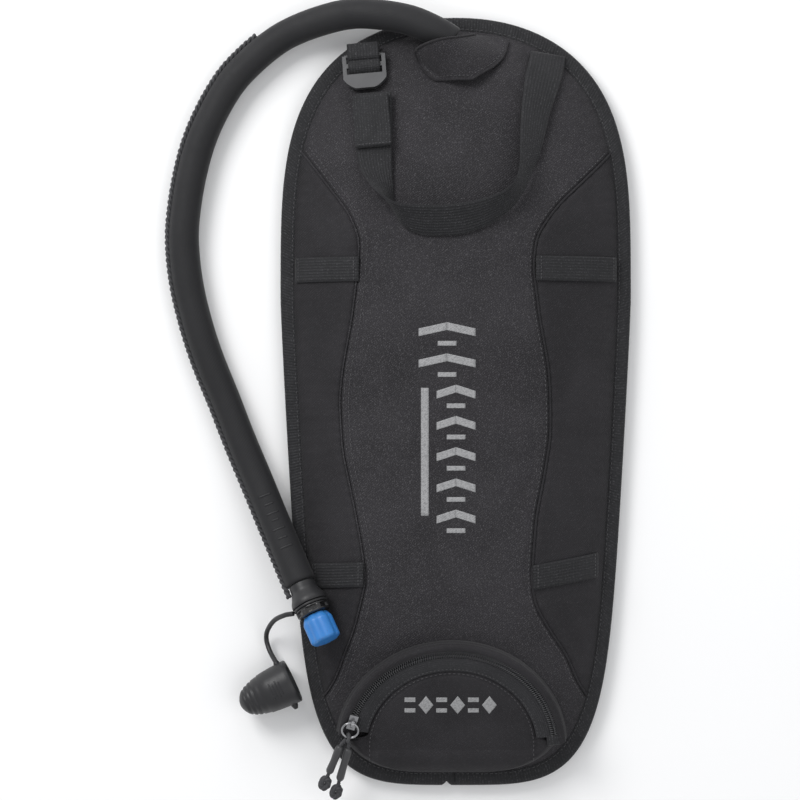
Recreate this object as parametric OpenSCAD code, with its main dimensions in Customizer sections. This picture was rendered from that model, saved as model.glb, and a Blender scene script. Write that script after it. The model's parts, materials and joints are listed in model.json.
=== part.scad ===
/* [Pouch] */
// Greatest width over the edge binding
pouch_w = 229; // [210:1:250]
// Height of the top edge above the origin
pouch_top = 254; // [240:1:270]
// Depth of the bottom edge below the origin
pouch_bottom = 247.5; // [235:1:260]
// Rise of the filled front above the edge binding
dome_h = 39; // [25:1:45]
// Width of the edge binding
binding_w = 9; // [7:0.5:12]

/* [Layers] */
// Height of the top of the edge binding above the floor
edge_z = 11; // [10:0.5:14]
// Thickness of the outer fabric
fabric_t = 1; // [0.6:0.1:1.4]
// Thickness of the foam at the middle of the front
foam_t = 3.4; // [2:0.2:4]
// Thickness of the foam where it is stitched into the edge
foam_edge_t = 1; // [0.8:0.1:1.2]
// Thickness of the liners
liner_t = 0.5; // [0.4:0.1:0.8]

/* [Pocket] */
// Radius of the pocket zip
zip_r = 67; // [66:1:68]
// Tilt of the pocket front about the X axis, degrees
zip_tilt = 20; // [16:1:22]
// Height of the middle of the zip arc above the floor
zip_centre_z = 29; // [28:0.5:31]

/* [Hose] */
// Outer diameter of the insulated hose
hose_d = 19.5; // [18:0.5:21]
// Outer diameter of the drink tube
tube_d = 9.6; // [9:0.1:10]
// Outer diameter of the bite valve
valve_d = 20; // [18:0.5:22]
// Outer diameter of the valve cover's mouth
cover_d = 29; // [26:0.5:30]

/* [Webbing] */
// Width of the hang strap
strap_w = 23; // [20:1:25]
// Width of the side loops
loop_w = 16; // [14:1:18]
// Thickness of the webbing
web_t = 1.5; // [1.2:0.1:2]

/* [Hidden] */
$fn = 48;

// Widest height of the outline, and the two end curves above and below it
wide_y = 70;
function top_curve(u) = pow(max(0, 1 - pow(u, 3.7)), 0.465);
function low_curve(u) = (1 - 0.164 * pow(u, 1.16)) * pow(max(0, 1 - pow(u, 8)), 0.25);
// Fraction of the way from the widest height to the end of the outline drawn in by d
function end_part(y, d) = y > wide_y
  ? (y - wide_y) / (pouch_top - d - wide_y)
  : (wide_y - y) / (wide_y + pouch_bottom - d);
// Half width at height y of the outline drawn in by d
function half_w(y, d) = (pouch_w / 2 - d) * (y > wide_y
  ? top_curve(min(1, end_part(y, d)))
  : low_curve(min(1, end_part(y, d))));
// Height on the outline drawn in by d that matches height y on the inner edge of the binding
function match_y(y, d) = y > wide_y
  ? wide_y + end_part(y, binding_w) * (pouch_top - d - wide_y)
  : wide_y - end_part(y, binding_w) * (wide_y + pouch_bottom - d);

// The filled front: crest height along Y times a pillow curve across X
dome_mid_y = (pouch_top - pouch_bottom) / 2;
dome_half_y = (pouch_top + pouch_bottom) / 2 - binding_w;
crest_x = -6;
function crest_h(y) = dome_h * pow(max(0, 1 - pow(min(1, abs(y - dome_mid_y) / dome_half_y), 3)), 0.7);
function pillow(t) = pow(max(0, 1 - pow(min(1, t), 2.4)), 0.7);
function side_part(x, y) = abs(x - crest_x)
  / max(1, half_w(y, binding_w) + (x > crest_x ? -crest_x : crest_x));
function front_z(x, y) = edge_z + crest_h(y) * pillow(side_part(x, y));
function foam_at(x, y) = foam_edge_t + (foam_t - foam_edge_t) * pillow(side_part(x, y));

// Seams of the hourglass centre panel, as [y, x]
SEAM_LEFT = [
  [-178, -78], [-160, -72], [-145, -66], [-125, -61], [-112, -58], [-89, -61], [-62, -66], [-29, -73],
  [4, -75], [24, -73], [57, -67], [82, -64], [108, -62], [125, -69], [142, -82], [161, -96]
];
SEAM_RIGHT = [
  [-178, 78], [-160, 71], [-145, 60], [-127, 50], [-112, 48], [-95, 49], [-70, 51], [-45, 56],
  [-20, 60], [4, 60], [24, 59], [57, 53], [90, 49], [110, 51], [130, 65], [147, 83], [161, 97]
];
seam_top_y = 161;
seam_low_y = -178;
past_seam = 0.93;
function seam_l(y) = (y > seam_top_y || y < seam_low_y)
  ? -past_seam * half_w(y, binding_w) : lookup(y, SEAM_LEFT);
function seam_r(y) = (y > seam_top_y || y < seam_low_y)
  ? past_seam * half_w(y, binding_w) : lookup(y, SEAM_RIGHT);

// Rows across the pouch, and the columns of each row
ROWS = [
  -238.2, -236, -231, -222, -210, -195, -178, -160, -145, -128, -112, -90, -62, -29, 4, 30, 57, 82, 108,
  125, 142, 161, 180, 196, 210, 221, 230, 237, 241.5, 244.5
];
row_n = len(ROWS);
side_cells = 3;
centre_cells = 8;
col_n = 2 * side_cells + centre_cells + 1;
function col_x(y, j) = let (w = half_w(y, binding_w))
  j < side_cells ? -w + (seam_l(y) + w) * pow(j / side_cells, 1.5)
  : j <= side_cells + centre_cells
    ? seam_l(y) + (seam_r(y) - seam_l(y)) * (j - side_cells) / centre_cells
  : w - (w - seam_r(y)) * pow((col_n - 1 - j) / side_cells, 1.5);

// Closed shell over a grid of upper and lower points, where keep(i, j) says which cells it has
module grid_shell(upper, lower, ni, nj, keep) {
  n = ni * nj;
  cells = [for (i = [0 : ni - 2]) for (j = [0 : nj - 2]) if (keep(i, j)) [i, j]];
  has = function(i, j) i >= 0 && j >= 0 && i < ni - 1 && j < nj - 1 && keep(i, j);
  polyhedron(
    points = concat(upper, lower),
    faces = [for (c = cells)
      let (i = c[0], j = c[1], a = i * nj + j, b = a + nj)
      each concat(
        [[a, b, b + 1], [a, b + 1, a + 1], [n + a, n + b + 1, n + b], [n + a, n + a + 1, n + b + 1]],
        has(i, j - 1) ? [] : [[a, n + a, n + b], [a, n + b, b]],
        has(i, j + 1) ? [] : [[a + 1, b + 1, n + b + 1], [a + 1, n + b + 1, n + a + 1]],
        has(i - 1, j) ? [] : [[a, a + 1, n + a + 1], [a, n + a + 1, n + a]],
        has(i + 1, j) ? [] : [[b + 1, b, n + b], [b + 1, n + b, n + b + 1]]
      )
    ]
  );
}

// One layer of the front, whose upper and lower heights are depths under the outer face
module front_layer(upper_depth, lower_depth, keep) {
  spots = [for (y = ROWS) for (j = [0 : col_n - 1]) [col_x(y, j), y]];
  grid_shell(
    [for (p = spots) [p[0], p[1], front_z(p[0], p[1]) - upper_depth(p[0], p[1])]],
    [for (p = spots) [p[0], p[1], front_z(p[0], p[1]) - lower_depth(p[0], p[1])]],
    row_n, col_n, keep
  );
}
// The hole under the port patch that the tube comes up through
function in_port(i, j) = let (y = (ROWS[i] + ROWS[i + 1]) / 2, x = col_x(y, j + 0.5))
  (y > 210 && y < 237 && x > 0 && x < 36) || (y > 230 && y < 237 && x > -18 && x < 0);
function in_centre(i, j) = (j >= side_cells && j < side_cells + centre_cells)
  || ROWS[i] >= seam_top_y || ROWS[i + 1] <= seam_low_y;

module front_center_panel() {
  color([0.17, 0.17, 0.18]) front_layer(
    function(x, y) 0, function(x, y) fabric_t,
    function(i, j) in_centre(i, j) && !in_port(i, j)
  );
}
module front_side(side) {
  color([0.14, 0.14, 0.15]) front_layer(
    function(x, y) 0, function(x, y) fabric_t,
    function(i, j) !in_centre(i, j) && (side < 0 ? j < side_cells : j > side_cells)
  );
}
module front_side_panel_left() { front_side(-1); }
module front_side_panel_right() { front_side(1); }
module front_foam() {
  color("gray") front_layer(
    function(x, y) fabric_t, function(x, y) fabric_t + foam_at(x, y),
    function(i, j) !in_port(i, j)
  );
}
module front_liner() {
  color("silver") front_layer(
    function(x, y) fabric_t + foam_at(x, y), function(x, y) fabric_t + foam_at(x, y) + liner_t,
    function(i, j) !in_port(i, j)
  );
}

// The back is a shallow dish: flat on the floor, rising to the binding at its rim
binding_low_z = 5.6;
DISH = [[binding_w, 0], [13, -3.4], [18, -5.1], [24, -binding_low_z]];
dish_n = len(DISH);
RING = concat([for (i = [0 : row_n - 1]) [-1, ROWS[i]]], [for (i = [row_n - 1 : -1 : 0]) [1, ROWS[i]]]);
ring_n = len(RING);
module dish(low, thick) {
  rings = [for (k = [0 : dish_n - 1]) [for (r = RING)
    let (y = match_y(r[1], DISH[k][0])) [r[0] * half_w(y, DISH[k][0]), y, low + DISH[k][1]]]];
  n = dish_n * ring_n;
  under = [for (k = [0 : dish_n - 1]) each rings[k]];
  over = [for (p = under) p + [0, 0, thick]];
  polyhedron(
    points = concat(under, over),
    faces = concat(
      [for (k = [0 : dish_n - 2]) for (i = [0 : ring_n - 1])
        let (a = k * ring_n + i, b = k * ring_n + (i + 1) % ring_n, c = a + ring_n, d = b + ring_n)
        each [[a, c, d], [a, d, b], [n + a, n + d, n + c], [n + a, n + b, n + d]]],
      [[for (i = [0 : ring_n - 1]) (dish_n - 1) * ring_n + i]],
      [[for (i = [ring_n - 1 : -1 : 0]) n + (dish_n - 1) * ring_n + i]],
      [for (i = [0 : ring_n - 1]) let (b = (i + 1) % ring_n) each [[i, b, n + b], [i, n + b, n + i]]]
    )
  );
}
// Slot for the access zip, across the back
back_zip_y = 196;
back_zip_half = 70;
slot_w = 20;
module back_slot() {
  translate([-back_zip_half - 6, back_zip_y - slot_w / 2, -1]) cube([2 * back_zip_half + 12, slot_w, 12]);
}
back_foam_t = 1;
module back_panel() {
  color([0.12, 0.12, 0.13]) difference() {
    dish(binding_low_z, fabric_t);
    back_slot();
  }
}
module back_foam() {
  color("gray") difference() {
    dish(binding_low_z + fabric_t, back_foam_t);
    back_slot();
  }
}
module back_liner() {
  color("silver") difference() {
    dish(binding_low_z + fabric_t + back_foam_t, liner_t);
    back_slot();
  }
}

// The binding tape round the whole edge
outer_steps = 15;
OUTER = concat(
  [for (k = [0 : outer_steps]) let (y = wide_y + (pouch_top - wide_y) * sin(90 * k / outer_steps))
    [half_w(y, 0), y]],
  [for (k = [outer_steps - 1 : -1 : 0]) let (y = wide_y + (pouch_top - wide_y) * sin(90 * k / outer_steps))
    [-half_w(y, 0), y]],
  [for (k = [1 : outer_steps]) let (y = wide_y - (wide_y + pouch_bottom) * sin(90 * k / outer_steps))
    [-half_w(y, 0), y]],
  [for (k = [outer_steps - 1 : -1 : 1]) let (y = wide_y - (wide_y + pouch_bottom) * sin(90 * k / outer_steps))
    [half_w(y, 0), y]]
);
module edge_binding() {
  color([0.08, 0.08, 0.09]) translate([0, 0, binding_low_z]) linear_extrude(edge_z - binding_low_z)
    difference() {
      polygon(OUTER);
      polygon([for (r = RING) [r[0] * half_w(r[1], binding_w), r[1]]]);
    }
}

// A band on the front: each station is its two edge points [x, y, clearance over the front]. Its faces
// lie either side of the surface between those edges, so it may turn over along its way.
band_gap = 1.3;
module laid_band(stations, thick, cells) {
  edge = function(p) [p[0], p[1], front_z(p[0], p[1]) + p[2]];
  ends = [for (s = stations) [edge(s[0]), edge(s[1])]];
  mids = [for (e = ends) (e[0] + e[1]) / 2];
  half = [for (k = [0 : len(ends) - 1])
    unit(cross(ends[k][1] - ends[k][0], tangent(mids, k))) * thick / 2];
  clear = function(p) [p[0], p[1], max(p[2], front_z(p[0], p[1]) + band_gap)];
  skin = function(side) [for (k = [0 : len(ends) - 1]) for (j = [0 : cells])
    clear(ends[k][0] + (ends[k][1] - ends[k][0]) * j / cells) + side * half[k]];
  grid_shell(skin(1), skin(-1), len(stations), cells + 1, function(i, j) true);
}
module side_loop(x0, x1, y0, y1) {
  color([0.1, 0.1, 0.11]) laid_band(
    [for (t = [0 : 1 / 2 : 1]) [[x0, y0 + loop_w * t, band_gap], [x1, y1 + loop_w * t, band_gap]]], web_t, 6
  );
}
module side_loop_upper_left() { side_loop(-104, -63, 80.5, 80.5); }
module side_loop_upper_right() { side_loop(51, 104, 81, 81); }
module side_loop_lower_left() { side_loop(-93, -60, -118, -116); }
module side_loop_lower_right() { side_loop(49, 92, -118, -111); }

// Port patch: a raised tunnel over the hose where it leaves the pouch
PORT_ROWS = [[211, -14, 10], [215, -19, 16], [220, -23, 24], [225, -25, 29], [230, -26, 32], [234, -16, 33],
  [238, 2, 34], [241, 12, 30]];
tunnel_from = [22, 214];
tunnel_to = [-9, 238];
tunnel_w = 21;
tunnel_h = 27.5;
function tunnel(x, y) = let (
    run = tunnel_to - tunnel_from, len2 = run * run, p = [x, y] - tunnel_from,
    s = min(1.1, max(0, (p * run) / len2)), q = abs(p[0] * run[1] - p[1] * run[0]) / sqrt(len2)
  ) tunnel_h * pow(s, 0.8) * max(0, 1 - pow(min(1, q / tunnel_w), 2));
port_cells = 6;
module tube_port_patch() {
  spots = [for (r = PORT_ROWS) for (j = [0 : port_cells]) [r[1] + (r[2] - r[1]) * j / port_cells, r[0]]];
  color([0.1, 0.1, 0.11]) grid_shell(
    [for (p = spots) [p[0], p[1], front_z(p[0], p[1]) + 1.4 + tunnel(p[0], p[1])]],
    [for (p = spots) [p[0], p[1], front_z(p[0], p[1]) + 0.4 + tunnel(p[0], p[1])]],
    len(PORT_ROWS), port_cells + 1, function(i, j) true
  );
}

// Hang strap: the buckle's bar lies on the axis that the whole loop lifts about
bar_at = [-60, 227.4, 24.5];
buckle_turn = [-18, -3, 5];
bar_r = 1.3;
buckle_w = 28;
buckle_h = 23;
buckle_t = 3;
module at_buckle() {
  translate(bar_at) rotate(buckle_turn) children();
}
module buckle_outline() {
  intersection() {
    translate([-buckle_w / 2, -buckle_h]) square([buckle_w, buckle_h]);
    translate([0, -8]) circle(r = 16.2);
  }
}
module ladder_lock_buckle() {
  color([0.2, 0.2, 0.21]) at_buckle() {
    difference() {
      translate([0, 0, -buckle_t / 2]) linear_extrude(buckle_t) buckle_outline();
      translate([-11.5, -5.6, -5]) cube([23, 8, 10]);
      translate([-11.5, -13, -5]) cube([23, 4.4, 10]);
    }
    translate([-12.5, 0, 0]) rotate([0, 90, 0]) cylinder(r = bar_r, h = 25, $fn = 24);
  }
}
module buckle_tab() {
  color([0.1, 0.1, 0.11]) at_buckle() translate([-10.5, 0, 0]) rotate([90, 0, 90]) linear_extrude(21)
    union() {
      difference() {
        circle(r = 4.3);
        circle(r = 3);
        translate([0, -3]) square([6, 6]);
      }
      translate([1.5, 3]) square([8, 1.3]);
      translate([1.5, -4.3]) square([8, 1.3]);
    }
}
// The strap's outer and inner edges: it stands up on its inner edge where it turns across the front
LOOP_STATIONS = [
  [[-65, 202, 6], [-42, 203, 6]], [[-65, 184, 5], [-41.5, 185, 5]], [[-64.5, 166, 5], [-41.5, 167, 4]],
  [[-62.5, 155, 8], [-41.5, 154, 3.5]], [[-58.5, 146, 13], [-41, 144, 2.5]],
  [[-52, 138, 18], [-40.5, 134, 2]], [[-44, 132, 20], [-38.5, 123, 2]],
  [[-35, 129, 19], [-33, 114.5, 2]], [[-24, 128.5, 16], [-22, 110, 2]], [[-10, 128.5, 14], [-9, 109.5, 2]],
  [[4, 130, 14], [6, 111, 2]], [[18, 133, 15], [21, 117, 2]], [[30, 138, 18], [34, 126, 2]],
  [[37.5, 145, 19], [43, 138, 2]], [[40, 155, 16], [49.5, 153, 2.5]], [[40.5, 166, 12], [54.5, 166, 3]],
  [[41.5, 188, 7], [60.5, 189, 4]], [[44, 209, 5], [67, 208, 4]], [[46, 219, 4], [69.5, 217, 3.5]]
];
module hang_strap_loop() {
  color([0.1, 0.1, 0.11]) laid_band([for (s = LOOP_STATIONS) [s[1], s[0]]], web_t, 2);
}
TAIL_STATIONS = [
  [[-67, 200, 9.5], [-44, 202, 9.5]], [[-66.5, 188, 8], [-43, 189, 8]], [[-65.5, 176, 7.4], [-42, 177, 7.4]],
  [[-65, 166, 7.2], [-41.5, 168, 7.2]]
];
module hang_strap_tail() {
  color([0.1, 0.1, 0.11]) laid_band([for (s = TAIL_STATIONS) [s[1], s[0]]], web_t, 2);
}
ANCHOR_STATIONS = [
  [[47.2, 223, 3.4], [70.8, 221, 3]], [[48, 227, 2.6], [71.2, 225, 2]], [[48.5, 231, 1.4], [71.5, 228, 1]]
];
module hang_strap_anchor() {
  color([0.1, 0.1, 0.11]) laid_band([for (s = ANCHOR_STATIONS) [s[1], s[0]]], web_t, 2);
}

// Pocket: its zip is a circle in a plane tilted about X, and everything on it is placed there
zip_at = [-3, -221, zip_centre_z];
zip_from = 8;
zip_to = 168;
module on_pocket() {
  translate(zip_at) rotate([zip_tilt, 0, 0]) children();
}
// Heights of the pocket plane, and of the pocket panel that follows it down to the binding
function plane_z(y) = zip_centre_z + (y - zip_at[1]) * tan(zip_tilt);
panel_r = zip_r - 12;
drop_y = -222;
drop_len = 17;
function panel_z(x, y) = y > drop_y ? plane_z(y)
  : edge_z + 0.6 + (plane_z(drop_y) - edge_z - 0.6) * sqrt(max(0, 1 - pow((drop_y - y) / drop_len, 2)));
function panel_half(y) = y > zip_at[1]
  ? sqrt(max(0, pow(panel_r, 2) - pow((y - zip_at[1]) / cos(zip_tilt), 2)))
  : min(panel_r, half_w(y, binding_w) - 8);
PANEL_ROWS = [-238, -236.5, -233, -228, -222, -212, -202, -192, -183, -176, -171, -169];
panel_cells = 8;
module pocket_panel() {
  spots = [for (y = PANEL_ROWS) for (j = [0 : panel_cells])
    [zip_at[0] + panel_half(y) * (2 * j / panel_cells - 1), y]];
  color([0.15, 0.15, 0.16]) grid_shell(
    [for (p = spots) [p[0], p[1], panel_z(p[0], p[1])]],
    [for (p = spots) [p[0], p[1], panel_z(p[0], p[1]) - fabric_t]],
    len(PANEL_ROWS), panel_cells + 1, function(i, j) true
  );
}
// Wall from the zip's outer tape down to the front of the pouch
gusset_steps = 24;
gusset_r = zip_r + 4;
gusset_t = 1.4;
module pocket_gusset() {
  rim = [for (k = [0 : gusset_steps]) for (r = [gusset_r, gusset_r + gusset_t])
    let (a = zip_from + (zip_to - zip_from) * k / gusset_steps)
    [zip_at[0] + r * cos(a), zip_at[1] + r * sin(a) * cos(zip_tilt)]];
  color([0.1, 0.1, 0.11]) grid_shell(
    [for (p = rim) [p[0], p[1], plane_z(p[1]) + 0.6]],
    [for (p = rim) [p[0], p[1], front_z(p[0], p[1]) + 0.3]],
    gusset_steps + 1, 2, function(i, j) true
  );
}
module zip_ring(r0, r1, z0, z1) {
  on_pocket() rotate([0, 0, zip_from]) rotate_extrude(angle = zip_to - zip_from, $fn = 96)
    translate([r0, z0]) square([r1 - r0, z1 - z0]);
}
coil_r = 0.9;
coil_gap = 1.45;
module zip_coil(r) {
  color([0.05, 0.05, 0.06]) on_pocket() rotate([0, 0, zip_from])
    rotate_extrude(angle = zip_to - zip_from, $fn = 96) translate([r, 0.4]) circle(r = coil_r, $fn = 24);
}
tape_t = 0.8;
module pocket_zip_tape_inner() {
  color([0.08, 0.08, 0.09]) zip_ring(panel_r + 0.2, zip_r - coil_gap - coil_r, 0, tape_t);
}
module pocket_zip_tape_outer() {
  color([0.08, 0.08, 0.09]) zip_ring(zip_r + coil_gap + coil_r, gusset_r - 0.3, 0, tape_t);
}
module pocket_zip_coil_inner() { zip_coil(zip_r - coil_gap); }
module pocket_zip_coil_outer() { zip_coil(zip_r + coil_gap); }

// A zip slider: two plates joined by a thin web that runs between the two coils, with a bail on top
slider_l = 10;
slider_w = 5.6;
plate_t = 1.1;
plate_gap = 2.8;
bail_r = 1.5;
bail_z = 4.2;
web_half = 0.25;
module slider_body() {
  translate([-slider_w / 2, -slider_l / 2, plate_gap / 2]) cube([slider_w, slider_l, plate_t]);
  translate([-slider_w / 2, -slider_l / 2, -plate_gap / 2 - plate_t]) cube([slider_w, slider_l, plate_t]);
  translate([-web_half, -slider_l / 2, -plate_gap / 2 - 0.1])
    cube([2 * web_half, slider_l, plate_gap + 0.2]);
  difference() {
    translate([-0.9, 0, bail_z]) rotate([0, 90, 0]) cylinder(r = bail_r + 1.2, h = 1.8);
    translate([-2, 0, bail_z]) rotate([0, 90, 0]) cylinder(r = bail_r, h = 4);
    translate([-2, -5, -plate_gap / 2]) cube([4, 10, plate_gap - 0.01]);
  }
}
slider_angle = zip_to - 5;
// The pull hangs off the slider along the zip's tangent; its frame has +X along the pull
pull_z = 4.6;
pull_tilt = 2;
module at_slider() {
  on_pocket() rotate([0, 0, slider_angle]) translate([zip_r, 0, 0.4]) children();
}
module at_pull() {
  at_slider() translate([0, 0, pull_z]) rotate([-pull_tilt, 0, 0]) rotate([0, 0, 90]) children();
}
module pocket_zip_slider() {
  color([0.25, 0.25, 0.26]) at_slider() slider_body();
}
ring_r = 5.2;
wire_r = 0.7;
module pocket_pull_ring() {
  color([0.3, 0.3, 0.31]) at_pull() translate([ring_r - 0.4, 0, 0])
    rotate_extrude() translate([ring_r, 0]) circle(r = wire_r, $fn = 24);
}
cord_r = 1.2;
cord_x = 2 * ring_r - 2.5;
CORD_ENDS = [[-4.6, 39], [4.2, 43]];
cord_drop = -1;
function cord_bend(c) = [cord_x + 9, c[0] < 0 ? -2.7 : 2.7, 0];
function cord_run(c) = [c[1] + 6, c[0], cord_drop] - cord_bend(c);
module pocket_pull_cord() {
  color([0.05, 0.05, 0.06]) at_pull() {
    translate([cord_x + 2.4, 0, 0]) rotate([90, 0, 0]) difference() {
      cylinder(r = 3, h = 2 * cord_r, center = true);
      cylinder(r = 1.2, h = 6, center = true);
    }
    for (c = CORD_ENDS) {
      hull() {
        translate([cord_x + 4.6, 0, 0]) sphere(cord_r, $fn = 12);
        translate(cord_bend(c)) sphere(cord_r, $fn = 12);
      }
      hull() {
        translate(cord_bend(c)) sphere(cord_r, $fn = 12);
        translate(cord_bend(c) + cord_run(c)) sphere(cord_r, $fn = 12);
      }
    }
    for (c = CORD_ENDS) translate([c[1] + 7, c[0], cord_drop]) sphere(3.3, $fn = 24);
  }
}
module pocket_pull_sleeves() {
  color([0.12, 0.12, 0.13]) at_pull() for (c = CORD_ENDS) {
    run = cord_run(c);
    translate(cord_bend(c) + run * 0.08)
      rotate([0, acos(run[2] / norm(run)), atan2(run[1], run[0])]) difference() {
        cylinder(r = 2.4, h = norm(run) * 0.64, $fn = 24);
        translate([0, 0, -1]) cylinder(r = cord_r + 0.25, h = 40, $fn = 24);
      }
  }
}
module pocket_zip_end_tab() {
  color([0.1, 0.1, 0.11]) on_pocket() rotate([0, 0, zip_from - 5.5])
    translate([zip_r - 5, -0.6, 0]) cube([8.5, 5.6, 2.2]);
}

// Back zip: straight, in the slot across the back, with its teeth above the floor
back_zip_z = 3;
module back_tape(side) {
  color([0.08, 0.08, 0.09])
    translate([-back_zip_half - 6, back_zip_y + (side > 0 ? coil_gap + coil_r : -slot_w / 2), back_zip_z])
      cube([2 * back_zip_half + 12, slot_w / 2 - coil_gap - coil_r, tape_t]);
}
module back_coil(side) {
  color([0.05, 0.05, 0.06]) translate([-back_zip_half, back_zip_y + side * coil_gap, back_zip_z + 0.4])
    rotate([0, 90, 0]) cylinder(r = coil_r, h = 2 * back_zip_half, $fn = 24);
}
module back_zip_tape_upper() { back_tape(1); }
module back_zip_tape_lower() { back_tape(-1); }
module back_zip_coil_upper() { back_coil(1); }
module back_zip_coil_lower() { back_coil(-1); }
back_slider_x = -back_zip_half + 8;
back_slider_z = back_zip_z + 0.4;
module back_zip_slider() {
  color([0.25, 0.25, 0.26]) translate([back_slider_x, back_zip_y, back_slider_z]) {
    for (side = [-1, 1])
      translate([-slider_l / 2, -slider_w / 2, side > 0 ? plate_gap / 2 : -plate_gap / 2 - 0.8])
        cube([slider_l, slider_w, 0.8]);
    translate([-slider_l / 2, -web_half, -plate_gap / 2 - 0.1])
      cube([slider_l, 2 * web_half, plate_gap + 0.2]);
  }
}
module back_zip_pull() {
  color([0.25, 0.25, 0.26]) translate([back_slider_x, back_zip_y, 0.7]) difference() {
    union() {
      translate([0.6, -1.5, -0.2]) cube([18, 3, 0.4]);
      translate([20, 0, -0.2]) cylinder(r = 3, h = 0.4, $fn = 24);
    }
    translate([20, 0, -1]) cylinder(r = 1.5, h = 2, $fn = 24);
  }
}

// Reservoir: two films welded along their rim, raised over the filler cap
BAG_ROWS = [
  -205, -203, -197, -185, -168, -140, -100, -50, 0, 50, 80,
  90, 98, 106, 118, 140, 160, 172, 180, 184.5, 186
];
bag_cells = 12;
bag_wall = 1;
cap_at = [0, 152];
bag_low = 3.4;
bag_high = 22;
bag_rim_z = 13;
bag_gap = 2.2;
function bag_half(y) = min(66, half_w(y, binding_w) - 26, 66 - max(0, y - 150) * 0.58);
function bag_floor(y) =
  y < 88 ? bag_low : y > 106 ? bag_high : bag_low + (bag_high - bag_low) * (y - 88) / 18;
function bag_rim(y) = max(bag_rim_z, bag_floor(y) + bag_wall + 0.4);
function bag_full(u, y) = sqrt(max(0, 1 - pow(abs(u), 8)))
  * sqrt(max(0, y < 0 ? min(1, (y - BAG_ROWS[0]) / 40) : min(1, (186 - y) / 14)));
function bag_top(x, y, u) = let (
    under = front_z(x, y) - fabric_t - foam_t - liner_t - bag_gap, low = bag_rim(y) + bag_wall
  ) low + max(0, under - low) * bag_full(u, y);
function bag_bottom(x, y, u) = let (high = bag_rim(y) - bag_wall)
  high - (high - bag_floor(y)) * bag_full(u, y);
module bag_film(height, thick) {
  spots = [for (y = BAG_ROWS) for (j = [0 : bag_cells]) let (u = 2 * j / bag_cells - 1)
    [bag_half(y) * u, y, height(bag_half(y) * u, y, u)]];
  grid_shell(
    [for (p = spots) p + [0, 0, max(0, thick)]], [for (p = spots) p + [0, 0, min(0, thick)]],
    len(BAG_ROWS), bag_cells + 1, function(i, j) true
  );
}
collar_r = 32;
module reservoir_front_film() {
  color([0.5, 0.7, 0.9, 0.6]) bag_film(function(x, y, u) bag_top(x, y, u), -bag_wall);
}
module reservoir_back_film() {
  color([0.5, 0.7, 0.9, 0.6]) difference() {
    bag_film(function(x, y, u) bag_bottom(x, y, u), bag_wall);
    translate([cap_at[0], cap_at[1], bag_high - 3]) cylinder(r = collar_r - 2.5, h = 8);
  }
}
cap_low = 6.3;
module fill_collar() {
  color([0.2, 0.35, 0.6]) translate([cap_at[0], cap_at[1], 0]) difference() {
    union() {
      translate([0, 0, 11]) cylinder(r = collar_r, h = bag_high - 11);
      translate([0, 0, bag_high - 1.6]) cylinder(r = collar_r + 3, h = 1.6);
      translate([-9, collar_r - 1, bag_high - 3]) cube([18, 12, 3]);
    }
    translate([0, 0, 10]) cylinder(r = collar_r - 2.5, h = 14);
  }
}
module fill_cap() {
  color([0.15, 0.3, 0.6]) translate([cap_at[0], cap_at[1], 0]) difference() {
    union() {
      translate([0, 0, cap_low]) cylinder(r = collar_r + 3.6, h = 12.2);
      for (a = [0 : 30 : 330]) rotate([0, 0, a]) translate([collar_r + 3.4, 0, cap_low])
        cylinder(r = 1.6, h = 12.2, $fn = 24);
    }
    translate([0, 0, cap_low + 2.2]) cylinder(r = collar_r + 0.4, h = 14);
  }
}
module fill_cap_gasket() {
  color([0.8, 0.8, 0.8]) translate([cap_at[0], cap_at[1], cap_low + 2.2]) difference() {
    cylinder(r = collar_r - 0.1, h = 2.4);
    translate([0, 0, -1]) cylinder(r = collar_r - 2.5, h = 6);
  }
}

// Outlet elbow on the bag's right side and the quick-release link above it
outlet = [66.1, -130, 13.6];
link_x = 79.5;
tube_r = tube_d / 2;
module outlet_elbow() {
  color([0.2, 0.35, 0.6]) difference() {
    union() {
      translate(outlet) rotate([0, 90, 0]) cylinder(r = 5.5, h = 1.6);
      translate(outlet) rotate([0, 90, 0]) cylinder(r = 2.4, h = link_x - outlet[0]);
      translate([link_x, outlet[1], outlet[2]]) sphere(4.2, $fn = 32);
      translate([link_x, outlet[1], outlet[2]]) rotate([-90, 0, 0]) cylinder(r = 4.2, h = 22);
    }
    translate([link_x, outlet[1], outlet[2]]) rotate([-90, 0, 0]) cylinder(r = 2.6, h = 23);
  }
}
link_r = 6.2;
module quick_link_body() {
  color([0.75, 0.77, 0.8]) translate([link_x, outlet[1] + 7, outlet[2]]) rotate([-90, 0, 0]) difference() {
    union() {
      cylinder(r = link_r, h = 15);
      translate([0, 0, 15]) cylinder(r1 = link_r, r2 = tube_r + 0.8, h = 6);
      translate([0, 0, 21]) cylinder(r = tube_r - 1.6, h = 12);
    }
    translate([0, 0, -1]) cylinder(r = 4.3, h = 17.5);
    translate([0, 0, 2]) cylinder(r = 2.4, h = 40);
    translate([-2.6, -20, 3]) cube([5.2, 16.3, 7.2]);
  }
}
module quick_link_button() {
  color([0.2, 0.4, 0.8]) translate([link_x, outlet[1] + 13.6, outlet[2] + 5.2])
    translate([-2.3, -3.3, 0]) cube([4.6, 6.6, 1.9]);
}
module quick_link_oring() {
  color([0.1, 0.1, 0.1]) translate([link_x, outlet[1] + 22.4, outlet[2]]) rotate([-90, 0, 0]) difference() {
    cylinder(r = 4.2, h = 1);
    translate([0, 0, -1]) cylinder(r = 2.8, h = 3);
  }
}

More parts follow.
